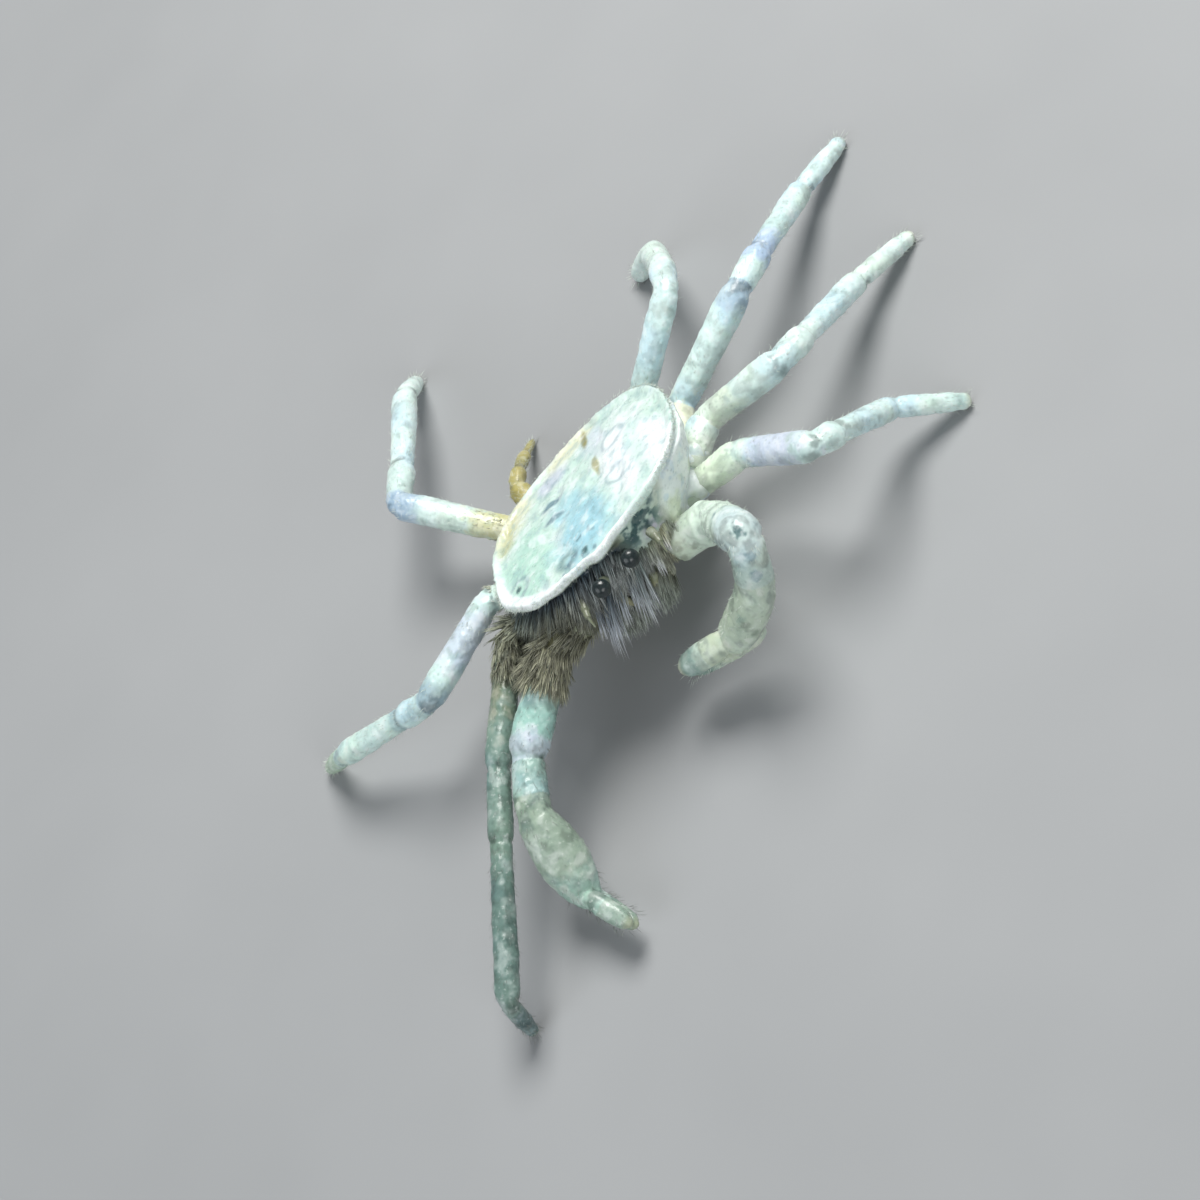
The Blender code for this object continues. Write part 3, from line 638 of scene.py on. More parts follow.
def noise(tree, where, scale, detail=3.0, roughness=0.6):
    grain = {"Scale": scale, "Detail": detail, "Roughness": roughness}
    return add_node(tree, "ShaderNodeTexNoise", Vector=where, **grain).outputs["Fac"]


def cell_distance(tree, where, scale):
    return add_node(tree, "ShaderNodeTexVoronoi", Vector=where, Scale=scale).outputs["Distance"]


def ramp(tree, value, low, high, from_value=0.0, to_value=1.0):
    span = {"From_Min": low, "From_Max": high, "To_Min": from_value, "To_Max": to_value}
    return add_node(tree, "ShaderNodeMapRange", {"clamp": True}, Value=value, **span).outputs["Result"]


def bumped(tree, height, strength, depth):
    node = add_node(tree, "ShaderNodeBump", Strength=strength, Distance=depth * MM, Height=height)
    return node.outputs["Normal"]


def mixed(tree, factor, first, second, blend="MIX"):
    node = add_node(tree, "ShaderNodeMix", {"data_type": "RGBA", "blend_type": blend})
    for index, value in ((0, factor), (6, first), (7, (*second, 1.0))):
        feed(tree, node.inputs[index], value)
    return node.outputs[2]


def maths(tree, operation, first, second):
    node = add_node(tree, "ShaderNodeMath", {"operation": operation})
    for socket, value in zip(node.inputs, (first, second)):
        feed(tree, socket, value)
    return node.outputs[0]


def shell_material(name, mottle, gloss, bump_depth):
    """Thin wet shell: the painted tint under soft clouds, veins, dark cells and pale flecks."""
    material, tree, where = start_material(name)
    clouds = noise(tree, where, 1100.0, 4.0)
    milk = noise(tree, where, 1900.0, 3.0, 0.55)
    veins = noise(tree, where, 3000.0, 5.0, 0.70)
    cells = cell_distance(tree, where, 5600.0)
    flecks = noise(tree, where, 7000.0, 2.0, 0.5)
    fine = noise(tree, where, 4800.0, 4.0)
    spread = ramp(tree, clouds, 0.44, 0.58, 0.0, 0.8 * mottle)
    dots = maths(tree, "MULTIPLY", ramp(tree, cells, 0.10, 0.34, 1.0, 0.0), spread)
    veils = (
        (ramp(tree, clouds, 0.48, 0.72, 0.0, 0.45 * mottle), (0.50, 0.62, 0.64), "MULTIPLY"),
        (ramp(tree, milk, 0.50, 0.75, 0.0, 0.22), (0.88, 0.95, 0.90), "MIX"),
        (ramp(tree, veins, 0.52, 0.70, 0.0, mottle), (0.42, 0.52, 0.50), "MULTIPLY"),
        (dots, (0.12, 0.18, 0.19), "MIX"),
        (ramp(tree, flecks, 0.62, 0.74, 0.0, 0.28), (0.94, 0.98, 0.95), "MIX"),
    )
    colour = painted_tint(tree)
    for factor, shade, blend in veils:
        colour = mixed(tree, factor, colour, shade, blend)
    height = maths(tree, "ADD", fine, maths(tree, "MULTIPLY", cells, 0.35))
    finish_material(
        tree, Base_Color=colour, Roughness=ramp(tree, fine, 0.35, 0.70, gloss, gloss + 0.20),
        Normal=bumped(tree, height, 0.40, bump_depth), Specular_IOR_Level=0.5,
        Subsurface_Weight=0.22, Subsurface_Radius=(0.9, 1.0, 0.9), Subsurface_Scale=0.18 * MM,
        Coat_Weight=0.22, Coat_Roughness=0.20
    )
    return material


def hair_material():
    """Bristles: the tuft's own tint with fine darker streaks."""
    material, tree, where = start_material("bristles")
    streaks = noise(tree, where, 3600.0)
    dark = ramp(tree, streaks, 0.45, 0.70, 0.0, 0.45)
    colour = mixed(tree, dark, painted_tint(tree), (0.50, 0.54, 0.48), "MULTIPLY")
    normal = bumped(tree, streaks, 0.3, 0.01)
    finish_material(tree, Base_Color=colour, Normal=normal, Roughness=0.5, Sheen_Weight=0.15)
    return material


def eye_material():
    """Dark glossy cornea with the fine net of a compound eye."""
    material, tree, where = start_material("eye_cornea")
    facets = cell_distance(tree, where, 22000.0)
    colour = mixed(tree, ramp(tree, facets, 0.2, 0.7, 0.0, 0.4), painted_tint(tree), (0.03, 0.05, 0.05))
    normal = bumped(tree, facets, 0.4, 0.006)
    finish_material(
        tree, Base_Color=colour, Normal=normal, Roughness=0.30, Coat_Weight=0.3, Coat_Roughness=0.05
    )
    return material


SHELL = shell_material("shield_shell", 0.34, 0.26, 0.030)
LIMB_SHELL = shell_material("limb_shell", 0.30, 0.28, 0.028)
BRISTLES = hair_material()
CORNEA = eye_material()


# Body

def outline_point(turn, share=1.0):
    """A place on the shield's outline, drawn out at the right front corner."""
    x, y = squared_waves(turn, 2.0 / np.where(np.sin(turn) > 0, BACK_SQUARENESS, FRONT_SQUARENESS))
    x = x * SHIELD_WIDTH / 2
    y = y * np.where(y > 0, SHIELD_BACK, SHIELD_FRONT)
    y = y - CORNER_REACH * bell(x - CORNER_MIDDLE[0], CORNER_WIDTHS[0]) * np.maximum(0.0, -np.sin(turn))
    x = x - CORNER_SPREAD * bell(y - CORNER_MIDDLE[1], CORNER_WIDTHS[1]) * np.maximum(0.0, -np.cos(turn))
    return x * share, y * share


def rostrum_reach(x, y):
    reach = ROSTRUM_LENGTH * np.exp(-((x / (0.5 * ROSTRUM_WIDTH)) ** 4))
    return np.where(y > -0.5 * SHIELD_FRONT, 0.0, reach)


def roll_rise(x):
    """Height that the roll gives the plate, level at the right end and easing into a slope."""
    past = x - ROLL_START
    return ROLL_SLOPE * (np.hypot(past, ROLL_EASE) + past) / 2.0


def depth_below(x, z):
    """Depth of a place under the rolled plate, by the levels of the walls."""
    rise = roll_rise(x)
    span = ROLL_FLOOR - EDGE_DEPTH
    middle = (rise * ROLL_FLOOR / span - z) / (1.0 + rise / span)
    return np.where(middle < EDGE_DEPTH, rise - z, np.where(middle < ROLL_FLOOR, middle, -z))


def wall_point(turn, side_share, front_share, depth):
    """Places round the body at one depth: under the rim the roll fades out and the left wall swells."""
    ahead = np.maximum(0.0, -np.sin(turn)) ** 3
    if depth >= EDGE_DEPTH:
        swell = SWELL_SHARE * bell(depth - SWELL_DEPTH, SWELL_REACH)
        side_share = side_share + swell * np.maximum(0.0, np.cos(turn)) ** 2
    x, y = outline_point(turn, side_share + (front_share - side_share) * ahead)
    if depth < EDGE_DEPTH:
        y = y - rostrum_reach(x, y)
    held = min(1.0, max(0.0, (ROLL_FLOOR - depth) / (ROLL_FLOOR - EDGE_DEPTH)))
    if depth < 0.0:
        depth = depth * (0.30 + 0.70 * eased(0.5, -0.3, np.sin(turn) + 1.1 * np.cos(turn)))
    return np.stack([x, y, roll_rise(x) * held - depth], axis=-1)


def wall_at(turn, depth):
    side_shares, front_shares, depths = np.array((EDGE[-1], *WALL)).T
    shares = [np.interp(depth, depths, row) for row in (side_shares, front_shares)]
    return wall_point(np.array([turn]), *shares, depth)[0]


def on_face(side, points):
    """Places of the face, raised with the roll of the plate above them."""
    return np.array([(side * x, y, z + float(roll_rise(side * x))) for x, y, z in points])


def share_of(x, y):
    """Share of the outline on which a point of the shield lies, 1 at the edge."""
    power = np.where(y > 0, BACK_SQUARENESS, FRONT_SQUARENESS)
    reach = np.where(y > 0, SHIELD_BACK, SHIELD_FRONT)
    return (np.abs(x / (SHIELD_WIDTH / 2)) ** power + np.abs(y / reach) ** power) ** (1.0 / power)


def shield_relief(x, y):
    """Heights of the shield: a low dome, gill swellings and the grooves round stomach and heart."""
    across = x / (SHIELD_WIDTH / 2)
    along = y / SHIELD_BACK
    side = np.abs(x)
    stomach = np.hypot(x * 0.92, y + 0.9) - 1.35
    heart = np.hypot(x, (y - 1.1) * 0.95) - 0.95
    cervical = (y + 0.35) - 0.45 * (side - 1.2)
    return sum((
        DOME_RISE * (1.0 - across ** 2 - along ** 2),
        -0.075 * bell(stomach, 0.20) * eased(-3.0, -2.0, y),
        -0.060 * bell(heart, 0.18),
        0.07 * bell(np.hypot(side - 2.25, (y - 0.7) * 0.75), 1.05),
        0.05 * bell(np.hypot(side - 2.3, y + 1.5), 0.6),
        -0.07 * bell(cervical, 0.16) * eased(1.0, 1.5, side) * eased(3.4, 2.8, side),
        -0.045 * bell(side - 0.55 - 0.25 * y, 0.12) * eased(1.9, 2.4, y),
    ))


def body_solid():
    """The shield, its rim and the walls under it as one shell, with a stub at each hip."""
    solid = Solid()
    turns = np.linspace(0, 2 * math.pi, BODY_SIDES, endpoint=False)
    rings = []
    for share in np.linspace(0.03, 0.90, SHIELD_ROWS):
        x, y = outline_point(turns, share)
        fade = eased(0.93, 0.80, share)
        height = shield_relief(x, y) * fade - 0.02 * (1 - fade) + roll_rise(x)
        rings.append(np.stack([x, y, height], axis=1))
    rows = np.array(EDGE + WALL)
    key = np.concatenate([[0], np.cumsum(np.hypot(np.diff(rows[:, 0]) * 4, np.diff(rows[:, 2])))])
    for step in np.linspace(0, key[-1], WALL_ROWS):
        rings.append(wall_point(turns, *[np.interp(step, key, column) for column in rows.T]))
    rings = [to_row(ring) for ring in rings]
    top = in_row(0, 0, DOME_RISE + float(roll_rise(0.0)))
    solid.rings(rings[::-1], in_row(0, 0, -BODY_DEPTH - 0.01), top)
    for limb, (pair, _, girth, _, _) in LIMBS.items():
        hip, knee = joints_of(limb)[:2]
        away = unit(knee - hip)
        radius = (ARM_RADII[0] if pair == 1 else LEG_RADII[0] * girth) * STUB_GIRTH
        add_segment(solid, hip - away * STUB_INNER, hip + away * STUB_OUTER, radius, HIP_STUB, sides=20)
    return solid


def paint_shield(spots, coarse, fine):
    """Tint of the upper side: soft coloured patches, ring marks, dark dots in front and a white rim."""
    x, y, z = spots.T
    tint = layered((0.80, 0.90, 0.86), ((0.88, 0.92, 0.94), 0.6 * eased(0.0, 0.7, coarse)))
    ragged = 0.24 * fractal(spots, 0.7, 11)
    for middle, side, wide, long, colour, strength in SHIELD_PATCHES:
        distance = np.hypot((x - middle) / wide, (y - side) / long) + ragged
        tint = layered(tint, (colour, strength * eased(1.15, 0.40, distance)))
    for middle, side, reach, half, colour, strength in SHIELD_RINGS:
        distance = np.hypot(x - middle, y - side) * (1.0 + 0.12 * ragged) - reach
        tint = layered(tint, (colour, strength * bell(distance, half)))
    dots = eased(0.30, 0.70, lattice_noise(spots, 0.17, 51))
    dotted = eased(-1.2, -1.9, y) * eased(-1.9, -1.3, x) * eased(0.4, -0.3, x)
    rim = eased(0.915, 0.950, share_of(x, y)) * eased(0.24, 0.08, depth_below(x, z))
    rim = rim * (0.30 + 0.65 * eased(0.4, -0.8, y)) * (1.0 - 0.90 * eased(0.9, 2.2, x))
    return layered(
        tint,
        (SLATE, 0.8 * dots * dotted),
        ((0.56, 0.69, 0.72), 0.34 * eased(0.10, 0.8, fine)),
        (ICE, 0.50 * eased(0.10, 0.8, -fine)),
        ((0.97, 1.0, 1.0), rim * (1.0 - 0.25 * eased(0.2, 0.8, fine))),
    )


def paint_walls(spots, coarse, fine):
    """Tint under the rim: a dark band in front, painted shade under the overhanging rim, icy on the left,
    straw on the right and behind.
    """
    x, y, z = spots.T
    depth = depth_below(x, z)
    # Band just under the front rim where the rim overhangs: painted shade
    painted_shade_band = eased(0.14, 0.24, depth) * eased(0.95, 0.60, depth)
    right_front = eased(0.9, 0.1, x) * eased(-0.1, -0.9, y)
    left_front = eased(0.3, 0.9, x) * eased(-2.2, -2.7, y)
    violet = eased(0.55, 0.75, depth) * eased(1.25, 0.95, depth) * eased(1.0, 1.4, x)
    mossy = eased(1.00, 1.25, depth) * left_front * eased(2.1, 1.7, x)
    flank = eased(1.7, 2.2, x) * eased(-2.7, -2.2, y)
    right_side = eased(-2.2, -2.8, x) * eased(-0.9, -0.1, y)
    icy = layered(
        (0.96, 1.00, 0.99),
        ((0.87, 0.91, 0.82), eased(0.1, 0.7, coarse)),
        ((0.80, 0.88, 0.93), 0.5 * eased(0.2, 0.7, fine)),
    )
    return layered(
        (0.50, 0.50, 0.38),
        ((0.38, 0.40, 0.32), eased(0.0, 0.7, coarse)),
        # Dark navy under the right front rim: painted shade
        (RIM_SHADE_NAVY, painted_shade_band * right_front * (0.55 + 0.45 * eased(-0.4, 0.3, fine))),
        ((0.80, 0.88, 0.84), left_front * 0.9),
        # Dark teal under the left front rim: painted shade
        (TEAL, left_front * painted_shade_band * eased(-0.30, 0.15, fine)),
        ((0.82, 0.80, 0.86), violet * left_front * eased(0.5, -0.1, fine)),
        ((0.52, 0.53, 0.38), mossy * eased(-0.3, 0.3, coarse)),
        (icy, flank),
        ((0.78, 0.77, 0.54), right_side * (0.6 + 0.4 * eased(-0.3, 0.5, fine))),
        ((0.74, 0.70, 0.48), eased(1.2, 2.4, y) * eased(1.4, 0.4, x) * 0.9),
        ((0.80, 0.82, 0.74), eased(1.85, 2.15, depth)),
    )


def make_body():
    mesh, spots, normals = remeshed("cephalothorax_skin", body_solid(), smoothing=4)
    local = to_shield(spots)
    depth = depth_below(local[:, 0], local[:, 2])
    above = eased(0.16, 0.02, depth)
    pits = fractal(spots, 0.36, 3, 3)
    grain = fractal(spots, 0.15, 8, 2)
    at_rim = share_of(local[:, 0], local[:, 1]) > 0.9
    beads = eased(0.50, 0.85, lattice_noise(spots, 0.20, 21)) * at_rim * above
    relief = above * (0.022 * pits + 0.008 * grain) + (1 - above) * (0.032 * pits + 0.012 * grain)
    clouds = (fractal(local, 0.80, 41, 3), fractal(local, 0.30, 43, 3))
    under = eased(0.10, 0.24, depth)[:, None]
    tint = paint_shield(local, *clouds) * (1 - under) + paint_walls(local, *clouds) * under
    spots = raised(spots, normals, relief + 0.030 * beads)
    finish_piece("cephalothorax_skin", mesh, spots, tint, SHELL, "shield", "cephalothorax")


# Limbs

def limb_coordinates(spots, joints, radii):
    """For each point, the nearest segment and the share along it."""
    best = np.full(len(spots), 1e9)
    number = np.zeros(len(spots), int)
    share = np.zeros(len(spots))
    for index, (start, end) in enumerate(zip(joints, joints[1:])):
        line = end - start
        part = np.clip((spots - start) @ line / (line @ line), 0.0, 1.0)
        away = np.linalg.norm(spots - start - part[:, None] * line, axis=1) / radii[index]
        closer = away < best
        best = np.where(closer, away, best)
        number = np.where(closer, index, number)
        share = np.where(closer, part, share)
    return number, share


def near_joints(number, share, width):
    """1 where two segments meet, fading within a share of their length."""
    inner = bell(share, width) * (number > 0)
    outer = bell(share - 1.0, width) * (number < SEGMENTS - 1)
    return np.maximum(inner, outer)


def paint_limb(limb, spots, number, share):
    """Tint of a limb: clouds, a straw root, patches, spots, stains, joints and a horny tip; on the right
    claw and the right second leg the darker tint and some patches are painted shade.
    """
    coarse = fractal(spots, 1.1, 5, 3)
    fine = fractal(spots, 0.34, 7, 3)
    tint = np.tile(LIMB_TINTS[limb], (len(spots), 1))
    clouds = (
        ((0.92, 0.97, 1.08), 0.50 * eased(0.0, 0.7, fractal(spots, 1.4, 9, 2))),
        ((1.0, 1.0, 0.94), 0.50 * eased(0.0, 0.7, -coarse)),
        ((0.74, 0.80, 0.80), 0.30 * eased(0.1, 0.8, coarse)),
    )
    for shade, weight in clouds:
        tint = layered(tint, (tint.mean(0) * shade, weight))
    if limb != "right_leg_5":
        straw = (0.86, 0.88, 0.76) if limb.startswith("left") else (0.76, 0.74, 0.54)
        tint = layered(tint, (straw, 0.55 * eased(1.0, 0.2, share) * (number == 0)))
    for middle, reach, colour, strength in LIMB_PATCHES.get(limb, ()):
        distance = np.abs(number + share - middle) / reach + 0.35 * fine
        tint = layered(tint, (colour, strength * eased(1.1, 0.40, distance)))
    joints = joints_of(limb)
    for middle, reach, colour, strength in LIMB_SPOTS.get(limb, ()):
        index = int(middle)
        centre = joints[index] + (joints[index + 1] - joints[index]) * (middle - index)
        spot = spots[np.argmin(np.linalg.norm(spots - centre - UPPER_SIDE, axis=1))]
        ragged = 0.45 * fine + 0.60 * fractal(spots, 0.13, 15, 2)
        distance = np.linalg.norm(spots - spot, axis=1) / reach + ragged
        tint = layered(tint, (colour, strength * eased(1.1, 0.30, distance)))
    tint = tint * (1.0 - STAINS.get(limb, PLAIN_STAIN) * eased(0.10, 0.75, fine))[:, None]
    tint = layered(tint, (tint * 0.45 + 0.55, 0.55 * eased(0.15, 0.75, -fine)))
    joint = near_joints(number, share, 0.04) * (0.2 if limb == "left_claw" else 1.0)
    tint = tint * (1.0 - 0.18 * joint * eased(-0.2, 0.6, fine))[:, None]
    return layered(tint, ((0.72, 0.68, 0.54), 0.45 * eased(0.86, 1.0, share) * (number == SEGMENTS - 1)))


def limb_line(joints, bend, step=LIMB_STEP):
    """Middle line of a limb in short steps, its joints rounded by the bend, and its place in segments."""
    points = [joints[0] - unit(joints[1] - joints[0]) * np.arange(LIMB_ROOT, 0.0, -step)[:, None]]
    places = [np.zeros(len(points[0]))]
    for index, (start, end) in enumerate(zip(joints, joints[1:])):
        shares = np.linspace(0.0, 1.0, max(5, int(np.linalg.norm(end - start) / step)), endpoint=False)
        points.append(start + shares[:, None] * (end - start))
        places.append(index + shares)
    points = np.concatenate([*points, joints[-1:]])
    places = np.concatenate([*places, [len(joints) - 1.0]])
    reach = int(3 * bend / step)
    kernel = np.exp(-0.5 * (np.arange(-reach, reach + 1) * step / bend) ** 2)
    before = 2 * points[0] - points[reach:0:-1]
    after = 2 * points[-1] - points[-2:-reach - 2:-1]
    padded = np.concatenate([before, points, after]).T
    smooth = [np.convolve(row, kernel / kernel.sum(), mode="valid") for row in padded]
    return np.stack(smooth, axis=1), places


def add_limb_tube(solid, joints, radii, outlines, flats, bend):
    """One tube along the joints, its width read from each segment's outline, closed round at the tip."""
    line, places = limb_line(joints, bend)
    number = np.minimum(places.astype(int), len(radii) - 1)
    tables = [np.array(outline).T for outline in outlines]
    wide = [radii[n] * np.interp(part, *tables[n]) for n, part in zip(number, places - number)]
    wide, flat = [averaged(row, (1, 2, 3, 4, 3, 2, 1)) for row in (wide, np.array(flats)[number])]
    passed = np.cumsum(np.linalg.norm(np.diff(line, axis=0, prepend=line[:1]), axis=1))
    cap = np.clip((passed[-1] - passed) / wide[-1], 0.0, 1.0)
    wide = wide * np.sqrt(np.maximum(1.0 - (1.0 - cap) ** 2, 0.02))
    add_tube(solid, line, wide, flat, LIMB_SIDES, power=1 / 1.1)


def dress_limb(limb, solid, smoothing, joints, radii, *nodes):
    """The shell of a leg or of a claw, with creases at its joints, fine relief and knobs."""
    mesh, spots, normals = remeshed(limb + "_shell", solid, smoothing=smoothing)
    number, share = limb_coordinates(spots, joints, radii)
    crease = near_joints(number, share, 0.02) * (0.15 if limb == "left_claw" else 1.0)
    lift = 0.020 * fractal(spots, 0.34, 2, 3) + 0.009 * fractal(spots, 0.12, 6, 2) - 0.022 * crease
    knobs = eased(0.62, 0.92, lattice_noise(spots, 0.17, 31))
    lift += 0.026 * knobs * eased(0.25, 0.7, 1.0 - np.abs(normals[:, 2]))
    spots = raised(spots, normals, lift)
    spots[:, 2] = np.maximum(spots[:, 2], 0.0)
    tint = paint_limb(limb, spots, number, share)
    finish_piece(limb + "_shell", mesh, spots, tint, LIMB_SHELL, "limbs", *nodes)


def leg_radii(limb):
    shares = LEG_SHARES.get(limb, (1.0,) * SEGMENTS)
    return [radius * share * LIMBS[limb][2] for radius, share in zip(LEG_RADII, shares)]


def make_leg(limb):
    joints = joints_of(limb)
    radii = leg_radii(limb)
    solid = Solid()
    outlines = (SPINDLE, SPINDLE, SPINDLE, SPINDLE, DACTYL)
    add_limb_tube(solid, joints, radii, outlines, (LIMB_FLATNESS,) * SEGMENTS, LEG_BEND)
    dress_limb(limb, solid, 4, joints, radii, limb)


def add_finger(solid, joints, fingers, start, offset, outline):
    """One finger of a claw, on its side of the claw's middle line."""
    finger = unit(joints[5] - joints[4])
    opening = unit(FINGER_OPENING - finger * (FINGER_OPENING @ finger))
    root = joints[4] + finger * start + opening * offset
    tip = joints[5] + opening * FINGER_CLOSING * offset
    camber = math.copysign(FINGER_CAMBER, offset)
    add_segment(solid, root, tip, FINGER_RADIUS * fingers, outline, FINGER_FLATNESS, opening, camber)


def make_claw(limb):
    """A claw's arm, palm and fixed finger as one shell, and its moving finger as another."""
    side = limb.removesuffix("_claw")
    arm, palm, fingers, outline, bend = CLAW_BUILD[side]
    joints = joints_of(limb)
    radii = [*arm, palm, FINGER_RADIUS]
    lower = Solid()
    finger_root = joints[4] + unit(joints[5] - joints[4]) * FINGER_ROOT
    widths = [*radii[:4], palm * outline[-1][1]]
    outlines = (SPINDLE, SPINDLE, SPINDLE, outline, PALM_END)
    add_limb_tube(lower, [*joints[:5], finger_root], widths, outlines, CLAW_FLATNESS, bend)
    add_finger(lower, joints, fingers, -0.5, -0.30 * fingers, FINGER)
    dress_limb(limb, lower, 8, joints, radii, limb + "_arm", limb + "_hand")
    upper = Solid()
    add_finger(upper, joints, fingers, -0.45, 0.26 * fingers, ROOTED_FINGER)
    mesh, spots, normals = remeshed(side + "_finger_shell", upper, smoothing=6)
    spots = raised(spots, normals, 0.014 * fractal(spots, 0.25, 4, 3))
    tint = paint_limb(limb, spots, *limb_coordinates(spots, joints, radii))
    finish_piece(side + "_finger_shell", mesh, spots, tint, LIMB_SHELL, "limbs", limb + "_finger")


# Head and underside

MOUTH_TINTS = ((0.62, 0.62, 0.50), (0.44, 0.46, 0.36))
ANTENNA_TINT = (0.46, 0.48, 0.40)
EYE_TINTS = ((0.62, 0.65, 0.55), (0.10, 0.13, 0.14))
TAIL_TINTS = ((0.84, 0.88, 0.80), (0.66, 0.73, 0.66))


def facing_on_body(x, y, z):
    """Way from the shield's centre to a place of the shield's frame."""
    return unit(in_row(x, y, z) - in_row(0, 0, 0))


def side_line(points, side, count):
    return smooth_line(np.array(points) * (side, 1, 1), count)


def add_strap(solid, line, widths, depth, facing, sides=20):
    """Flat tube along a line, narrower at its two ends."""
    order = np.arange(len(line))
    closing = np.minimum(1.0, 0.45 + 0.55 * np.minimum(order, order[::-1]))
    add_tube(solid, line, closing * widths, depth / widths, sides, facing)


def make_mouth_leg(word, side):
    name = word + "_maxilliped_shell"
    widths = MOUTH_WIDTH * np.interp(np.linspace(0, 1, 22), np.linspace(0, 1, 5), MOUTH_WIDTHS)
    solid = Solid()
    line = to_row(side_line(MOUTH, side, 22))
    feeler = to_row(side_line(FEELER, side, 12))
    add_strap(solid, line, widths, MOUTH_DEPTH, facing_on_body(0, -1, -0.6))
    add_strap(solid, feeler, np.linspace(*FEELER_WIDTHS, 12), FEELER_DEPTH, facing_on_body(0, -1, 0))
    mesh, spots, normals = remeshed(name, solid, PLATE_VOXEL)
    spots = raised(spots, normals, 0.02 * fractal(spots, 0.2, 12, 3))
    tint = layered(MOUTH_TINTS[0], (MOUTH_TINTS[1], eased(-0.2, 0.6, fractal(spots, 0.5, 13, 2))))
    finish_piece(name, mesh, spots, tint, LIMB_SHELL, "hair", word + "_maxilliped")


def make_antenna(word, side):
    """Short second antenna: three thick joints and a whip that ends in a point."""
    line = to_row(smooth_line(on_face(side, ANTENNA), 40))
    widths = np.interp(np.linspace(0, 1, 40), ANTENNA_SHARES, ANTENNA_WIDTHS)
    solid = Solid()
    add_tube(solid, line, widths, np.ones(40), 16)
    mesh = solid.mesh(word + "_antenna_shell")
    spots = rows_of(mesh.vertices, "co")
    finish_piece(mesh.name, mesh, spots, ANTENNA_TINT, LIMB_SHELL, "limbs", word + "_antenna")


def make_eye(word, side):
    """Round dark eye on a short pale stalk, beside the rostrum."""
    root, tip = to_row(on_face(side, EYESTALK))
    steps = np.linspace(0, 1, 44)
    widths = EYE_RADIUS * np.interp(steps, EYE_SHARES, EYE_WIDTHS)
    solid = Solid()
    add_tube(solid, root + np.outer(steps, tip - root), widths, np.ones(44), 36)
    mesh = solid.mesh(word + "_eyeball")
    spots = rows_of(mesh.vertices, "co")
    far = (spots - root) @ unit(tip - root) / np.linalg.norm(tip - root)
    tint = layered(EYE_TINTS[0], (EYE_TINTS[1], eased(0.42, 0.50, far)))
    finish_piece(mesh.name, mesh, spots, tint, CORNEA, "eyes", word + "_eye")


def make_tail():
    """Abdomen folded under the body, its segments marked by grooves across it."""
    line = to_row(smooth_line(TAIL, 60))
    widths = TAIL_WIDTH * np.interp(np.linspace(0, 1, 60), np.linspace(0, 1, 6), TAIL_WIDTHS)
    facing = facing_on_body(0, 0.8, -1)
    solid = Solid()
    add_strap(solid, line - facing * TAIL_INSET, widths, TAIL_DEPTH, facing, LIMB_SIDES)
    mesh, spots, normals = remeshed("abdomen_shell", solid)
    place = np.array([np.argmin(np.linalg.norm(line - spot, axis=1)) for spot in spots]) / 59.0
    seams = sum(bell(place - seam, 0.014) for seam in TAIL_SEAMS)
    spots = raised(spots, normals, 0.015 * fractal(spots, 0.3, 17, 3) - 0.05 * seams)
    tint = layered(TAIL_TINTS[0], (TAIL_TINTS[1], eased(-0.3, 0.7, fractal(spots, 0.9, 18, 3))))
    finish_piece("abdomen_shell", mesh, spots, tint, SHELL, "shield", "abdomen")


# Bristles

DOWN = np.array([0.0, 0.0, -1.0])
HAIR_BROWN = np.array([0.46, 0.45, 0.35])
BEARD_ROOT = 0.7 * np.array([0.52, 0.54, 0.45])
HAIR_PALE = np.array([0.84, 0.88, 0.84])
HAIR_BRIGHT = np.array([0.93, 0.94, 0.97])
BLADE_WAVES = squared_waves(np.array([0.0, 2.1, 4.2]))
UNWRAP_PATCH = 0.003


def blade_faces(stations):
    """Faces of a three-sided blade: its base, the walls between its rings and the point."""
    top = stations * 3 - 3
    sides = ((0, 1), (1, 2), (2, 0))
    walls = [(low + a, low + b, low + 3 + b, low + 3 + a) for low in range(0, top, 3) for a, b in sides]
    return [(2, 1, 0), *walls, *[(top + a, top + b, top + 3) for a, b in sides]]


BLADE_FACES = {stations: blade_faces(stations) for stations in (2, 4)}


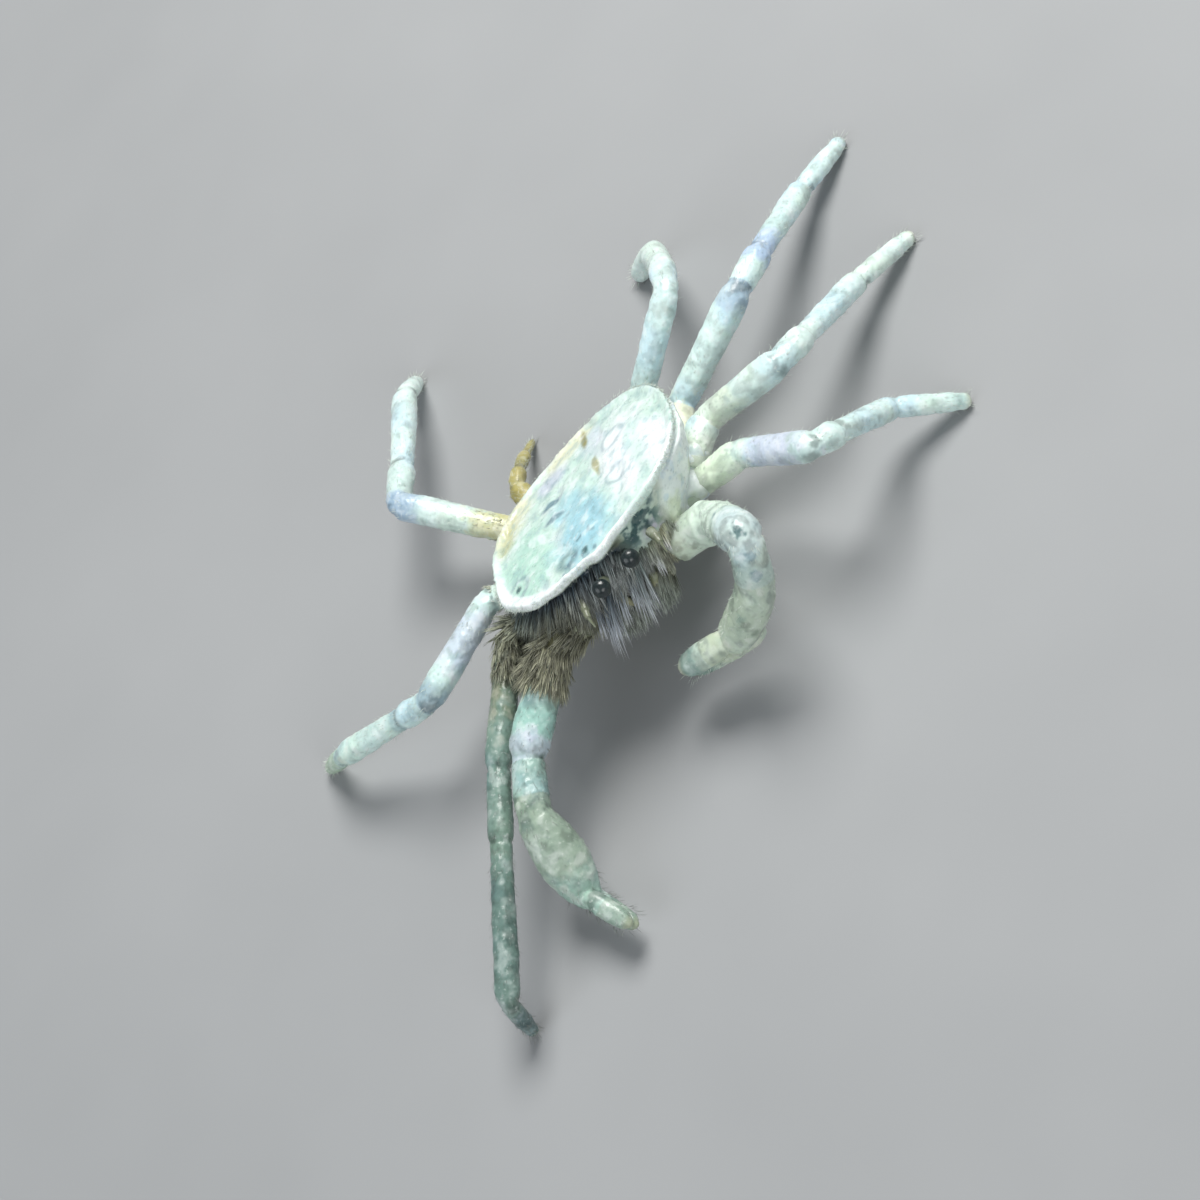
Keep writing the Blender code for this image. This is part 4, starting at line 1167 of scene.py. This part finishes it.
class Coat:
    """Bristles gathered into one mesh: each a tapered three-sided blade bent along its lie."""

    def __init__(self, name, seed):
        self.name = name
        self.draw = np.random.default_rng(seed)
        self.vertices = []
        self.faces = []
        self.tints = []
        self.places = []

    def bristle(self, root, way, bend, length, tint, tip_tint, place, width, stations=4):
        along = unit(way)
        section = section_frame(along, unit(self.draw.normal(size=3)))
        base = len(self.vertices)
        for share in np.arange(stations) / stations:
            middle = root + along * length * share + bend * length * share ** 2
            self.vertices.extend(ring_at(middle, section, BLADE_WAVES, width * (1.0 - 0.75 * share)))
            self.tints.extend([tint + (tip_tint - tint) * share] * 3)
            row = place[1] + UNWRAP_PATCH * share
            self.places.extend([(place[0] + UNWRAP_PATCH * 0.5 * side, row) for side in range(3)])
        self.vertices.append(root + along * length + bend * length)
        self.tints.append(tip_tint)
        self.places.append((place[0] + UNWRAP_PATCH * 0.5, place[1] + UNWRAP_PATCH))
        self.faces += [tuple(base + corner for corner in face) for face in BLADE_FACES[stations]]

    def tuft(self, root, way, bend, length, tint, tip_tint, place, width, spread, number):
        """Bristles from a small patch that close up towards one tip."""
        way = unit(way)
        across, lift = section_frame(way, unit(self.draw.normal(size=3)))
        for _ in range(number):
            angle = self.draw.uniform(0, 2 * math.pi)
            aside = math.cos(angle) * across + math.sin(angle) * lift
            off = spread * math.sqrt(self.draw.uniform(0, 1)) * aside
            reach = length * self.draw.uniform(0.72, 1.0)
            lean = way + (self.draw.normal(size=3) * 0.07) - off / max(length, 0.01) * 0.7
            shade = self.draw.uniform(0.75, 1.2)
            self.bristle(root + off, lean, bend, reach, tint * shade, tip_tint * shade, place, width)

    def finish(self):
        mesh = mesh_of(self.name, self.vertices, self.faces)
        layer = mesh.uv_layers.new(name="OFBake")
        loops = np.empty(len(mesh.loops), dtype=np.int32)
        mesh.loops.foreach_get("vertex_index", loops)
        layer.data.foreach_set("uv", np.clip(np.array(self.places)[loops], 0.0, 1.0).ravel())
        spots = np.array(self.vertices)
        spots[:, 2] = np.maximum(spots[:, 2], 0.004)
        finish_piece(self.name, mesh, spots, np.array(self.tints), BRISTLES, "hair")


# Fringe under the front rim: place round the outline in degrees, lie, length, root and tip colour
# The dark navy root colours are painted shade under the rim; the tips and the brown mixed in below are
# the hair's own colour
FRINGE = (
    (-174, (-0.92, -0.38, -0.10), 0.90, (0.46, 0.54, 0.54), (0.70, 0.77, 0.74)),
    (-156, (-0.80, -0.56, -0.10), 1.20, (0.28, 0.36, 0.41), (0.64, 0.69, 0.65)),
    (-138, (-0.60, -0.76, -0.16), 1.45, (0.21, 0.28, 0.35), (0.61, 0.62, 0.54)),
    (-121, (-0.44, -0.84, -0.30), 1.50, (0.20, 0.27, 0.34), (0.62, 0.62, 0.53)),
    (-99, (-0.38, -0.82, -0.40), 1.35, (0.25, 0.32, 0.36), (0.80, 0.82, 0.82)),
    (-81, (-0.30, -0.82, -0.42), 1.02, (0.38, 0.44, 0.42), (0.84, 0.86, 0.86)),
    (-66, (-0.16, -0.88, -0.34), 0.64, (0.66, 0.66, 0.52), (0.88, 0.88, 0.78)),
    (-56, (-0.08, -0.90, -0.30), 0.42, (0.72, 0.78, 0.70), (0.92, 0.96, 0.92)),
)

FRINGE_ENDS = (-174, -57)
FRINGE_TOP = 0.32
FRINGE_REACH = 1.40

# Bare spot of the fringe round an eye: distance aside, depth under the rim, radius
EYE_ASIDE = 0.62
EYE_BELOW = 0.72
EYE_CLEARING = 0.27

# Long tufts that hang below the fringe: depth of their roots, place round the outline in degrees, length
HANGING_DEPTH = 1.05
HANGING_TUFTS = (
    (-108, 1.55), (-103, 2.15), (-100, 1.95), (-95, 1.50), (-89, 1.60), (-86, 2.05), (-83, 1.75),
    (-74, 1.10), (-66, 0.75),
)

# Shag by limb: segment, share that it reaches, radius, tufts, length, flare, root and tip colour, width
# and, for a tuft that fills the space between two limbs, the limb it faces
SHAG = {
    "right_claw": (
        (0, 1.00, 0.58, 170, 0.95, 0.38, (0.46, 0.46, 0.38), (0.71, 0.71, 0.62), 0.020),
        (1, 0.33, 0.64, 430, 0.85, 0.18, (0.49, 0.49, 0.40), (0.73, 0.73, 0.64), 0.020),
        (1, 0.28, 0.62, 120, 1.00, 0.60, (0.44, 0.44, 0.37), (0.66, 0.66, 0.57), 0.022, "right_leg_2"),
    ),
    "right_leg_2": (
        (0, 1.00, 0.46, 150, 0.90, 0.40, (0.46, 0.47, 0.40), (0.67, 0.69, 0.61), 0.021),
        (1, 0.34, 0.46, 200, 0.62, 0.08, (0.50, 0.51, 0.43), (0.69, 0.71, 0.63), 0.020),
        (1, 0.28, 0.44, 110, 0.95, 0.50, (0.47, 0.47, 0.39), (0.67, 0.68, 0.59), 0.022, "right_claw"),
    ),
    "left_claw": ((0, 1.00, 0.64, 40, 0.24, 0.30, (0.90, 0.95, 0.90), (0.97, 0.99, 0.97), 0.011),),
    "left_leg_2": ((0, 1.00, 0.44, 30, 0.20, 0.30, (0.91, 0.94, 0.86), (0.97, 0.98, 0.94), 0.020),),
    "left_leg_3": ((0, 1.00, 0.42, 24, 0.20, 0.40, (0.90, 0.92, 0.82), (0.96, 0.97, 0.92), 0.018),),
    "left_leg_4": ((0, 1.00, 0.42, 24, 0.20, 0.40, (0.90, 0.91, 0.80), (0.96, 0.97, 0.92), 0.018),),
    "left_leg_5": ((0, 1.00, 0.40, 24, 0.20, 0.40, (0.90, 0.91, 0.82), (0.96, 0.97, 0.92), 0.016),),
    "right_leg_3": ((0, 1.00, 0.42, 60, 0.30, 0.40, (0.86, 0.87, 0.76), (0.95, 0.96, 0.90), 0.012),),
    "right_leg_4": (
        (0, 1.00, 0.42, 90, 0.45, 0.35, (0.80, 0.78, 0.60), (0.92, 0.91, 0.78), 0.013),
        (1, 0.34, 0.45, 90, 0.26, 0.22, (0.84, 0.83, 0.68), (0.95, 0.94, 0.85), 0.012),
    ),
    "right_leg_5": (
        (0, 1.00, 0.40, 110, 0.34, 0.35, (0.68, 0.64, 0.43), (0.86, 0.82, 0.62), 0.012),
        (1, 1.00, 0.36, 70, 0.24, 0.35, (0.70, 0.66, 0.44), (0.86, 0.82, 0.64), 0.011),
    ),
}
SHAGGY_LIMBS = ("right_claw", "right_leg_2")

# Numbers of tufts or bristles in the coats
FRINGE_TUFTS = 800
RIM_BRISTLES = 800
SHIELD_BRISTLES = 1100
LEG_BRISTLES_PER_MM = 58
BEARD_TUFTS = 110

# Shortest and longest bristles of the rim, the shield and the limbs
RIM_LENGTHS = (0.08, 0.20)
DOWN_LENGTHS = (0.04, 0.09)
LEG_BRISTLE_LENGTHS = (0.16, 0.34)

# Beard of the mouth legs: length of its longest tufts and their way in the row's frame
BEARD_LENGTH = 1.05
BEARD_WAY = np.array([-0.44, -0.60, -0.66])


def read_fringe(turn):
    """Lie, length, root colour and tip colour of the fringe at one place round the outline."""
    table = np.array([(at, *way, length, *root, *tip) for at, way, length, root, tip in FRINGE])
    row = np.array([np.interp(turn, table[:, 0], column) for column in table[:, 1:].T])
    return unit(row[:3]), row[3], row[4:7], row[7:]


def fringe_place(turn, row):
    """Place on the unwrap of a turn within the fringe."""
    return 0.02 + 0.95 * (turn - FRINGE_ENDS[0]) / (FRINGE_ENDS[1] - FRINGE_ENDS[0]), row


def make_fringe():
    """Hair of the face: tufts rooted all over the wall under the front rim, hanging forward."""
    coat = Coat("fringe_bristles", 5)
    draw = coat.draw
    for _ in range(FRINGE_TUFTS):
        turn = draw.uniform(*FRINGE_ENDS)
        deep = draw.uniform(0.0, 1.0) ** 1.3
        bare = 0.66 * eased(-90.0, -76.0, turn)
        depth = FRINGE_TOP + bare + (FRINGE_REACH - bare) * deep
        spot = wall_at(math.radians(turn), depth)
        if math.hypot(abs(spot[0]) - EYE_ASIDE, (depth - EYE_BELOW) * 1.1) < EYE_CLEARING:
            continue
        way, length, tint, tip = read_fringe(turn)
        way = unit(way + draw.normal(size=3) * 0.09)
        root = in_row(*spot) - way * 0.08
        size = length * draw.uniform(0.40, 0.95) * (1.0 - 0.20 * deep)
        warm = 0.8 * min(1.0, 1.3 * deep) * eased(-70.0, -95.0, turn)
        tint = (tint + warm * (HAIR_BROWN - tint)) * draw.uniform(0.70, 1.15)
        tip = tip * draw.uniform(0.60, 1.18)
        place = fringe_place(turn, 0.02 + 0.9 * deep)
        coat.tuft(root, way, DOWN * 0.14, size, tint, tip, place, width=0.022, spread=0.09, number=7)
    for turn, size in HANGING_TUFTS:
        way, _, tint, _ = read_fringe(turn)
        root = in_row(*wall_at(math.radians(turn), HANGING_DEPTH)) - way * 0.1
        place = fringe_place(turn, 0.5)
        looks = (tint, HAIR_BRIGHT, place)
        coat.tuft(root, way, DOWN * 0.18, size, *looks, width=0.026, spread=0.12, number=18)
    coat.finish()


def make_rim_hairs():
    """Short bristles all round the shield's edge and a thin down over its top."""
    coat = Coat("rim_bristles", 6)
    draw = coat.draw
    for _ in range(RIM_BRISTLES):
        turn = draw.uniform(0, 2 * math.pi)
        x, y = outline_point(np.array([turn]), 0.995)
        height = float(roll_rise(x[0])) + draw.uniform(-0.10, 0.08)
        spot = np.array([x[0], y[0] - float(rostrum_reach(x, y)[0]), height])
        way = unit(facing_on_body(spot[0], spot[1], -0.8) + draw.normal(size=3) * 0.30)
        place = (0.02 + 0.95 * turn / (2 * math.pi), 0.10)
        size = draw.uniform(*RIM_LENGTHS)
        root = in_row(*spot)
        coat.bristle(root, way, DOWN * 0.1, size, HAIR_PALE, HAIR_PALE, place, width=0.010, stations=2)
    for _ in range(SHIELD_BRISTLES):
        turn = draw.uniform(0, 2 * math.pi)
        x, y = outline_point(np.array([turn]), math.sqrt(draw.uniform(0.0, 0.8)))
        spot = np.array([x[0], y[0], shield_relief(x, y)[0] + float(roll_rise(x[0])) - 0.02])
        way = unit(facing_on_body(0.25 * x[0], -0.5, 0.8) + draw.normal(size=3) * 0.3)
        place = (0.5 + 0.45 * x[0] / 4.0, 0.6 + 0.35 * y[0] / 4.0)
        size = draw.uniform(*DOWN_LENGTHS)
        root = in_row(*spot)
        coat.bristle(root, way, DOWN * 0.05, size, HAIR_PALE, HAIR_PALE, place, width=0.007, stations=2)
    coat.finish()


def segment_spot(draw, limb, index, low, high, radius, towards=None):
    """A random place on one segment of a limb, the way out of it, and its place on the unwrap."""
    start, end = joints_of(limb)[index:index + 2]
    along = unit(end - start)
    across, lift = section_frame(along)
    share = draw.uniform(low, high)
    turn = draw.uniform(0, 2 * math.pi)
    if towards:
        other = joints_of(towards)
        gap = (other[1] + (other[2] - other[1]) * share) - (start + (end - start) * share)
        turn = math.atan2(gap @ lift, gap @ across) + draw.normal() * 0.6
    out = math.cos(turn) * across + LIMB_FLATNESS * math.sin(turn) * lift
    strip = list(LIMBS).index(limb) + 0.08 + 0.8 * turn / (2 * math.pi)
    place = (strip / len(LIMBS), 0.02 + 0.95 * (index + share) / SEGMENTS)
    return start + (end - start) * share + out * radius, along, out, place


def make_leg_hairs():
    """Fine bristles all over the limbs, slanting towards their tips."""
    coat = Coat("leg_bristles", 8)
    draw = coat.draw
    for limb, (pair, _, _, lengths, _) in LIMBS.items():
        claw_radii = (*ARM_RADII, PALM_RADIUS * 0.86, FINGER_RADIUS * 1.2)
        radii = claw_radii if pair == 1 else leg_radii(limb)
        shade = 0.62 if limb in SHAGGY_LIMBS else 1.0
        for index, length in enumerate(lengths):
            for _ in range(int(length * LEG_BRISTLES_PER_MM)):
                root, along, out, place = segment_spot(draw, limb, index, 0.04, 0.97, radii[index] - 0.08)
                way = unit(along * 0.8 + out * 0.62 + draw.normal(size=3) * 0.12)
                size = draw.uniform(*LEG_BRISTLE_LENGTHS)
                tint = HAIR_PALE * shade * draw.uniform(0.85, 1.1)
                coat.bristle(root, way, DOWN * 0.04, size, tint, tint, place, width=0.0085, stations=2)
    coat.finish()


def make_shag(name, seed, limbs):
    """Shag of the limbs given, row by row of the table."""
    coat = Coat(name, seed)
    draw = coat.draw
    rows = [(limb, *row) for limb in limbs for row in SHAG[limb]]
    for limb, index, high, radius, tufts, length, flare, tint, tip, width, *towards in rows:
        for _ in range(tufts):
            root, along, out, place = segment_spot(draw, limb, index, 0.0, high, radius - 0.06, *towards)
            way = unit(along * (1.0 - 0.3 * flare) + out * flare + draw.normal(size=3) * 0.12)
            size = length * draw.uniform(0.5, 1.0)
            tints = np.array((tint, tip)) * draw.uniform(0.75, 1.15)
            coat.tuft(root, way, DOWN * 0.08, size, *tints, place, width, spread=0.06, number=6)
    coat.finish()


def make_beard():
    """Hair on the mouth legs, hanging forward and down."""
    coat = Coat("beard_bristles", 10)
    draw = coat.draw
    for side in (1, -1):
        line = side_line(MOUTH, side, 40)
        for _ in range(BEARD_TUFTS):
            point = draw.integers(0, 26)
            spot = line[point] + np.array([draw.uniform(-0.38, 0.38), -0.18, -0.05])
            way = unit(BEARD_WAY + draw.normal(size=3) * 0.12)
            size = BEARD_LENGTH * draw.uniform(0.4, 1.0)
            place = (0.25 + 0.5 * (side > 0) + 0.1 * draw.uniform(-1, 1), 0.05 + 0.9 * point / 40.0)
            tip = HAIR_PALE * draw.uniform(0.6, 1.1)
            root = in_row(*spot)
            looks = (BEARD_ROOT, tip, place)
            coat.tuft(root, way, DOWN * 0.12, size, *looks, width=0.026, spread=0.08, number=6)
    coat.finish()


# Floor, light and camera

VIEW_ELEVATION = math.radians(50.0)
VIEW_AZIMUTH = math.radians(20.0)
VIEW_ROLL = math.radians(-54.0)
VIEW_DISTANCE = 100.7
PIXELS_PER_MM = 33.1
IMAGE_SIZE = 1200.0
SHIELD_CENTRE_PIXEL = (594.0, 509.0)
LENS = 100.0
SENSOR_WIDTH = 36.0
FLOOR_SIZE = 1200.0
FLOOR_TINTS = ((0.33, 0.34, 0.35, 1.0), (0.36, 0.37, 0.38))
SKY_TINT = (0.92, 0.96, 1.0, 1.0)
SKY_STRENGTH = 0.20

# Lights: name, place, size, power, colour
LIGHTS = (
    ("key", (60.0, 60.0, 130.0), 90.0, 0.28, (1.0, 0.99, 0.96)),
    ("fill", (-110.0, -60.0, 90.0), 120.0, 0.07, (0.92, 0.97, 1.0)),
    ("front", (20.0, -120.0, 60.0), 80.0, 0.045, (1.0, 1.0, 1.0)),
)


def make_floor():
    material, tree, where = start_material("pale_floor")
    mottle = ramp(tree, noise(tree, where, 60.0), 0.3, 0.7)
    colour = mixed(tree, mottle, *FLOOR_TINTS)
    finish_material(tree, Base_Color=colour, Roughness=0.75)
    half = FLOOR_SIZE / 2 * MM
    corners = [(x * half, y * half, 0) for x, y in ((-1, -1), (1, -1), (1, 1), (-1, 1))]
    mesh = mesh_of("floor", corners, [(0, 1, 2, 3)])
    mesh.materials.append(material)
    link_object("floor", mesh)


def make_light(name, place, size, power, colour):
    lamp = bpy.data.lights.new(name, "AREA")
    lamp.shape = "DISK"
    lamp.size = size * MM
    lamp.energy = power
    lamp.color = colour
    light = link_object(name, lamp)
    light.location = Vector(place) * MM
    light.rotation_euler = (Vector((0, 0, 2)) - Vector(place)).to_track_quat("-Z", "Y").to_euler()


def make_camera():
    turned = math.degrees(VIEW_AZIMUTH)
    back = heading(turned - 90.0, math.degrees(VIEW_ELEVATION))
    level = heading(turned, 0.0)
    upright = np.cross(back, level)
    right = level * math.cos(VIEW_ROLL) + upright * math.sin(VIEW_ROLL)
    up = -level * math.sin(VIEW_ROLL) + upright * math.cos(VIEW_ROLL)
    place = SHIELD_HEIGHT * UPWARD - SPAN_MIDDLE + back * VIEW_DISTANCE
    place = place + right * (IMAGE_SIZE / 2 - SHIELD_CENTRE_PIXEL[0]) / PIXELS_PER_MM
    place = place - up * (IMAGE_SIZE / 2 - SHIELD_CENTRE_PIXEL[1]) / PIXELS_PER_MM
    lens = bpy.data.cameras.new("camera")
    lens.lens = LENS
    lens.sensor_width = SENSOR_WIDTH
    lens.clip_start = 0.005
    lens.clip_end = 5.0
    camera = link_object("camera", lens)
    axes = Matrix((right, up, back)).transposed().to_4x4()
    camera.matrix_world = Matrix.Translation(Vector(place * MM)) @ axes
    bpy.context.scene.camera = camera


def make_world():
    world = bpy.data.worlds.new("studio")
    world.use_nodes = True
    background = world.node_tree.nodes["Background"]
    background.inputs["Color"].default_value = SKY_TINT
    background.inputs["Strength"].default_value = SKY_STRENGTH
    bpy.context.scene.world = world
    bpy.context.scene.view_settings.view_transform = "Standard"


make_camera()
make_body()
for limb in LIMBS:
    if limb.endswith("claw"):
        make_claw(limb)
    else:
        make_leg(limb)
for word, side in (("left", 1), ("right", -1)):
    make_eye(word, side)
    make_antenna(word, side)
    make_mouth_leg(word, side)
make_tail()
make_fringe()
make_rim_hairs()
make_leg_hairs()
make_shag("claw_shag", 9, SHAGGY_LIMBS)
make_shag("base_tufts", 11, [limb for limb in SHAG if limb not in SHAGGY_LIMBS])
make_beard()
make_floor()
for light in LIGHTS:
    make_light(*light)
make_world()
